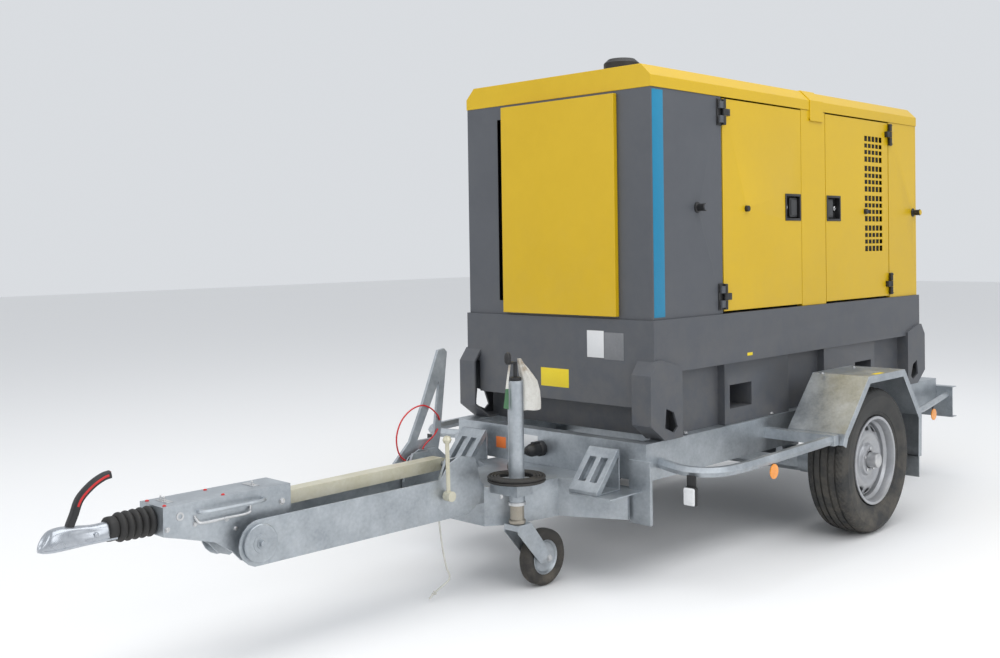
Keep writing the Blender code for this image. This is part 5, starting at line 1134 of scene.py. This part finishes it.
cap = [
    (0, 0.0), (0.0235, 0.0), (0.0240, 0.0020), (0.0235, 0.0100), (0.0190, 0.0120), (0.0100, 0.0130),
    (0, 0.0130)
]
knob = [
    (0, 0.0), (0.0100, 0.0), (0.0125, 0.0040), (0.0130, 0.0200), (0.0115, 0.0330), (0.0070, 0.0390),
    (0, 0.0400)
]
arm_route = smooth_line(
    [
        (JOCKEY[0], JOCKEY[1], 0.866), (JOCKEY[0] - 0.012, JOCKEY[1], 0.8675),
        (JOCKEY[0] - 0.040, JOCKEY[1], 0.8665)
    ],
    10
)
crank = shell(
    "crank",
    [
        rod((*JOCKEY, 0.715), (*JOCKEY, 0.870), 0.0078, 20), lathe(cap, (*JOCKEY, 0.8010), "z", 40),
        sweep(
            arm_route,
            [
                (-0.0095, -0.0040), (0.0095, -0.0040), (0.0100, 0.0), (0.0095, 0.0040),
                (-0.0095, 0.0040), (-0.0100, 0.0)
            ]
        ),
        lathe(knob, (JOCKEY[0] - 0.040, JOCKEY[1], 0.8680), "z", 32)
    ],
    black_plastic, "jockey_crank", 40
)
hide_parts("jockey_crank")


def bag_surface(heights, middles, halves, depths, sides=96, rows=72):
    """A hanging bag: ellipses about a drifting middle, pleated at the neck and slack below.

    The radius is 1 + p(z) cos(9 t + 2 sin(t)) + 0.030 sin(3 t + 40 z) + 0.016 sin(7 t - 90 z); the
    pleats p fall from 0.16 at the neck to 0.02 at the hem.
    """
    z = np.linspace(max(heights), min(heights), rows)
    order = np.argsort(heights)
    pick = lambda values: np.interp(z, np.asarray(heights)[order], np.asarray(values)[order])
    x, half, depth = pick(middles), pick(halves), pick(depths)
    t = np.linspace(0, 2 * np.pi, sides + 1)[:-1]
    fall = (z - z.min()) / (z.max() - z.min())
    pleats = (0.02 + 0.14 * fall**2)[:, None] * np.cos(9 * t + 2 * np.sin(t))[None]
    slack = 0.030 * np.sin(3 * t[None] + 40 * z[:, None]) + 0.016 * np.sin(7 * t[None] - 90 * z[:, None])
    wide = 1 + pleats + slack * (1 - 0.5 * fall)[:, None]
    grid = np.stack(
        [
            x[:, None] + half[:, None] * np.cos(t)[None] * (1 + 0.3 * (wide - 1)),
            JOCKEY[1] - 0.0015 + depth[:, None] * np.sin(t)[None] * wide,
            z[:, None] + 0.0035 * np.sin(2 * t + 0.8)[None] * (1 - fall)[:, None],
        ],
        -1,
    )
    hem = grid[-1:]
    tuck = (grid[-1:] - grid[-1].mean(0)) * 0.86 + grid[-1].mean(0) + (0, 0, 0.004)
    shut = np.broadcast_to(tuck[0].mean(0) + (0, 0, 0.018), (1, sides, 3))
    top = np.broadcast_to(grid[0].mean(0) + (0, 0, -0.001), (1, sides, 3))
    return np.concatenate([top, grid, hem, tuck, shut])


cloth = finish(
    "stained_cloth", (0.52, 0.50, 0.45), (0.70, 0.69, 0.65), 16.0, 0.85, 0.95, bump=0.0008,
    slot="bag_cloth"
)
nodes, links = cloth.node_tree.nodes, cloth.node_tree.links
shader = nodes["Principled BSDF"]
place = nodes.new("ShaderNodeTexCoord")
split = nodes.new("ShaderNodeSeparateXYZ")
links.new(place.outputs["Object"], split.inputs["Vector"])
patch = noise(nodes, links, place.outputs["Object"], 26.0, 3.0)
near_neck = ranged(nodes, links, split.outputs["Z"], 0.790, 0.865)
stain = worked(nodes, links, "MULTIPLY", near_neck, ranged(nodes, links, patch, 0.42, 0.62))
before = shader.inputs["Base Color"].links[0].from_socket
links.new(blended(nodes, links, stain, before, (0.27, 0.19, 0.105)), shader.inputs["Base Color"])
shader.inputs["Sheen Weight"].default_value = 0.2
bag = shell(
    "bag",
    [
        bag_surface(
            (0.880, 0.862, 0.840, 0.815, 0.790, 0.750, 0.710, 0.681),
            (-0.684, -0.676, -0.662, -0.646, -0.629, -0.620, -0.6185, -0.6180),
            (0.007, 0.012, 0.023, 0.032, 0.039, 0.046, 0.0485, 0.0490),
            (0.007, 0.010, 0.014, 0.0175, 0.0185, 0.0190, 0.0185, 0.0170)
        )
    ],
    cloth, "jockey_crank", 60
)
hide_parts("crank_bag")
hem_green = finish(
    "green_hem", (0.060, 0.150, 0.075), (0.085, 0.190, 0.100), 30.0, 0.85, 0.95, slot="bag_cloth"
)
for name, points, thick, paint in (
    (
        "bag_flap",
        [
            (-0.7330, 0.868), (-0.7480, 0.800), (-0.7530, 0.772), (-0.7390, 0.772), (-0.7385, 0.800),
            (-0.7240, 0.868)
        ],
        0.0011, cloth
    ),
    (
        "bag_flap_hem",
        [
            (-0.7530, 0.7715), (-0.7600, 0.7300), (-0.7660, 0.7020), (-0.7400, 0.6940),
            (-0.7385, 0.7300), (-0.7390, 0.7715)
        ],
        0.0013, hem_green
    )
):
    ring = np.array([(x, JOCKEY[1] + 0.004, z) for x, z in points])
    middle = ring.mean(0)
    rows = [
        np.broadcast_to(middle - (0, thick, 0), ring.shape), ring - (0, thick, 0), ring + (0, thick, 0),
        np.broadcast_to(middle + (0, thick, 0), ring.shape)
    ]
    flap = shell(name, [np.stack(rows)], paint, "jockey_crank", 40)

# ------------------------------------------------------------------ stripe, plates, lamps and reflectors
# A blue stripe down each side of the front corner, blank plates on the base, and the road lighting:
# white markers at the front corners, amber reflectors along the sides, lamp clusters on the light bar.
cyan = finish(
    "blue_stripe", (0.000, 0.190, 0.350), (0.000, 0.215, 0.390), 3.0, 0.35, 0.42, slot="black_plastic"
)
blank_white = finish(
    "blank_white", (0.66, 0.67, 0.68), (0.72, 0.72, 0.72), 12.0, 0.35, 0.5, slot="bright_steel"
)
blank_grey = finish(
    "blank_grey_plate", (0.150, 0.155, 0.165), (0.200, 0.205, 0.215), 12.0, 0.4, 0.5,
    slot="bright_steel"
)
blank_yellow = finish(
    "blank_yellow", (0.76, 0.56, 0.01), (0.80, 0.62, 0.02), 12.0, 0.4, 0.5, slot="yellow_paint"
)
amber = finish(
    "amber_lens", (0.80, 0.24, 0.00), (0.88, 0.32, 0.00), 12.0, 0.12, 0.2, slot="red_plastic",
    Coat_Weight=0.6
)
clear_lens = finish(
    "clear_lens", (0.62, 0.63, 0.64), (0.74, 0.75, 0.76), 30.0, 0.08, 0.15, slot="black_plastic",
    Coat_Weight=0.8
)
red_lens = finish(
    "red_lens", (0.42, 0.006, 0.006), (0.52, 0.010, 0.010), 12.0, 0.12, 0.2, slot="red_plastic",
    Coat_Weight=0.6
)
orange_label = finish(
    "orange_label", (0.72, 0.16, 0.03), (0.78, 0.20, 0.04), 20.0, 0.5, 0.6, slot="red_plastic"
)


def plates(name, boxes, material, body="trailer", edge=0.0004):
    return shell(name, [block(low, high, edge) for low, high in boxes], material, body, 30)


plates(
    "corner_stripes",
    [((-0.2205, side * 0.5074, 1.0160), (-0.1485, side * 0.5079, 1.9070)) for side in (-1, 1)], cyan,
    edge=0.0001
)
plates("white_plate", [((-0.2392, -0.2690, 0.8480), (-0.2386, -0.1820, 0.9570))], blank_white, edge=0.0002)
plates("type_plate", [((-0.2394, -0.3700, 0.8430), (-0.2386, -0.2715, 0.9520))], blank_grey, edge=0.0003)
plates("yellow_labels", [
    ((-0.2391, -0.0810, 0.7125), (-0.2386, 0.0736, 0.7895)),
    ((0.4300, -0.5187, 0.8170), (0.4720, -0.5181, 0.8300)),
    ((0.9300, -0.8600, 0.7131), (1.0150, -0.8350, 0.7136)),
], blank_yellow, edge=0.0001)
plates("frame_labels", [((-0.3001, 0.2280, 0.4340), (-0.2996, 0.2860, 0.4820))], orange_label, edge=0.0001)
plates("frame_plate", [((-0.3003, 0.0420, 0.4560), (-0.2996, 0.1260, 0.5080))], blank_white, edge=0.0002)

markers, housings, brackets, reflectors = [], [], [], []
for side in (-1, 1):
    y = side * 0.7200
    brackets.append(block((-0.2930, y - 0.0200, 0.3950), (-0.2870, y + 0.0200, 0.4420), 0.0010))
    housings.append(block((-0.3010, y - 0.0260, 0.3300), (-0.2820, y + 0.0260, 0.4000), 0.0060))
    markers.append(block((-0.3130, y - 0.0240, 0.3320), (-0.3000, y + 0.0240, 0.3980), 0.0090))
    disc = [(0, 0.0), (0.0290, 0.0), (0.0300, 0.0015), (0.0290, 0.0050), (0, 0.0065)]
    for x, face, z in ((0.1070, 0.8300, 0.4100), (1.9500, 0.6800, 0.3980)):
        reflectors.append(lathe([(r, side * h) for r, h in disc], (x, side * face, z), "y", 32))
        brackets.append(
            block(
                (x - 0.0090, side * (face - 0.0040), z - 0.0100),
                (x + 0.0090, side * (face - 0.0010), z + 0.0400), 0.0008
            )
        )
shell("front_marker_lenses", markers, clear_lens, "trailer", 40)
shell("front_marker_backs", housings, black_plastic, "trailer", 40)
shell("lamp_brackets", brackets, black_plastic, "trailer", 30)
shell("side_reflectors", reflectors, amber, "trailer", 40)

tail_x = 2.3700
clusters, reds, ambers, whites = [], [], [], []
for side in (-1, 1):
    y = side * 0.5000
    clusters.append(block((tail_x, y - 0.1000, 0.3400), (tail_x + 0.0160, y + 0.1000, 0.4760), 0.0050))
    reds.append(block((tail_x + 0.0150, y - 0.0330, 0.3450), (tail_x + 0.0300, y + 0.0330, 0.4710), 0.0050))
    ambers.append(
        block(
            (tail_x + 0.0150, y + side * 0.0350, 0.3450), (tail_x + 0.0300, y + side * 0.0960, 0.4710),
            0.0050
        )
    )
    whites.append(
        block(
            (tail_x + 0.0150, y - side * 0.0960, 0.3450), (tail_x + 0.0300, y - side * 0.0350, 0.4710),
            0.0050
        )
    )
shell("tail_lamp_backs", clusters, black_plastic, "trailer", 30)
shell("tail_lamps_red", reds, red_lens, "trailer", 40)
shell("tail_lamps_amber", ambers, amber, "trailer", 40)
shell("tail_lamps_clear", whites, clear_lens, "trailer", 40)
plates(
    "blank_number_plate", [((2.3700, -0.2500, 0.3550), (2.3730, 0.2500, 0.4650))], blank_white,
    edge=0.0010
)

frame_bolts = []
for side in (-1, 1):
    for x, z in ((-0.2850, 0.4679), (-0.2850, 0.4258), (-0.2400, 0.4131)):
        frame_bolts += bolt((x, side * 0.5002, z), "y", side, 0.0085)
    for x in (-0.0185, 0.6450, 1.2770, 1.9405):
        frame_bolts += bolt((x, side * 0.5040, 0.5405), "z", 1, 0.0110)
shell("frame_bolts", frame_bolts, bolt_zinc, "trailer", 30)
guard_bolts = []
for side in (-1, 1):
    for x, z in ((0.8200, 0.7132), (1.1200, 0.7132)):
        guard_bolts += bolt((x, side * 0.6600, z), "z", 1, 0.0080)
shell("mudguard_bolts", guard_bolts, bolt_zinc, "trailer", 30)

# ------------------------------------------------------------------ exhaust cap, control door and the inside
# The rain cap is black steel on a short flanged stub.  Behind the doors, everything is plainly painted.
black_steel = finish(
    "black_exhaust_steel", (0.018, 0.018, 0.019), (0.035, 0.034, 0.034), 16.0, 0.45, 0.65,
    slot="exhaust_steel", Metallic=0.3
)
dress("exhaust_flap", black_steel, 0.004)
dress("muffler", dark_steel, 0.003)
engine_enamel = finish(
    "engine_enamel", (0.085, 0.110, 0.135), (0.120, 0.145, 0.170), 6.0, 0.35, 0.5, slot="engine_paint"
)
dress("engine_block", engine_enamel, 0.004)
dress(
    "alternator",
    finish(
        "alternator_enamel", (0.16, 0.165, 0.17), (0.22, 0.225, 0.23), 6.0, 0.4, 0.55,
        slot="engine_paint"
    ),
    0.004
)
fins = finish(
    "radiator_fins", (0.030, 0.030, 0.031), (0.060, 0.060, 0.060), 40.0, 0.45, 0.6, slot="engine_paint",
    Metallic=0.4
)
dress("radiator", fins, 0.003)
dress("cooling_fan", black_plastic, 0.002)
dress("battery", black_plastic, 0.003)
dress(
    "fuel_tank",
    finish(
        "tank_plastic", (0.040, 0.040, 0.041), (0.055, 0.055, 0.056), 8.0, 0.45, 0.6,
        slot="black_plastic"
    ),
    0.012
)
coat("stop_button", glossy_red)
door_bits = []
for z in (1.30, 1.51, 1.72):
    door_bits.append(rod((2.1560, 0.3140, z - 0.035), (2.1560, 0.3140, z + 0.035), 0.0075, 18))
shell("control_door_hinges", door_bits, satin_black, "control_door", 30)
shell(
    "control_door_latch",
    [
        block((2.1700, -0.2950, 1.4600), (2.1730, -0.2450, 1.5600), 0.0012),
        block((2.1720, -0.2850, 1.4750), (2.1850, -0.2550, 1.5450), 0.0035)
    ],
    satin_black, "control_door", 30
)
plates(
    "control_window", [((2.1702, -0.1700, 1.5200), (2.1712, 0.1700, 1.7600))], clear_lens,
    "control_door", edge=0.0003
)

# ------------------------------------------------------------------ floor, light and air
# A pale floor with a soft overhead light and a wide one from the camera's side, as in a studio.
floor_mesh = bpy.data.meshes.new("floor")
floor_mesh.from_pydata([(-30, -30, 0), (30, -30, 0), (30, 30, 0), (-30, 30, 0)], [], [(0, 1, 2, 3)])
floor = bpy.data.objects.new("floor", floor_mesh)
bpy.context.scene.collection.objects.link(floor)
pale = bpy.data.materials.new("pale_floor")
pale.use_nodes = True
pale.node_tree.nodes["Principled BSDF"].inputs["Base Color"].default_value = (0.86, 0.86, 0.86, 1)
pale.node_tree.nodes["Principled BSDF"].inputs["Roughness"].default_value = 0.9
floor_mesh.materials.append(pale)
bpy.context.scene.view_settings.view_transform = "Standard"
world = bpy.data.worlds.new("air")
bpy.context.scene.world = world
world.use_nodes = True
world.node_tree.nodes["Background"].inputs["Color"].default_value = (0.93, 0.96, 1.0, 1)
world.node_tree.nodes["Background"].inputs["Strength"].default_value = 0.75


def soft_light(name, place, aim, size, power):
    lamp = bpy.data.objects.new(name, bpy.data.lights.new(name, "AREA"))
    lamp.data.energy = power
    lamp.data.shape = "RECTANGLE"
    lamp.data.size, lamp.data.size_y = size
    lamp.location = place
    lamp.rotation_euler = (Vector(aim) - Vector(place)).to_track_quat("-Z", "Y").to_euler()
    bpy.context.scene.collection.objects.link(lamp)


soft_light("overhead", (0.0, -1.0, 6.0), (0.2, 0.0, 0.8), (7.0, 6.0), 230)
soft_light("kerb_side", (-1.0, -7.0, 4.0), (0.6, 0.0, 1.0), (6.0, 4.0), 130)
soft_light("ahead", (-6.5, 1.5, 3.6), (0.0, 0.0, 1.2), (4.0, 3.0), 60)
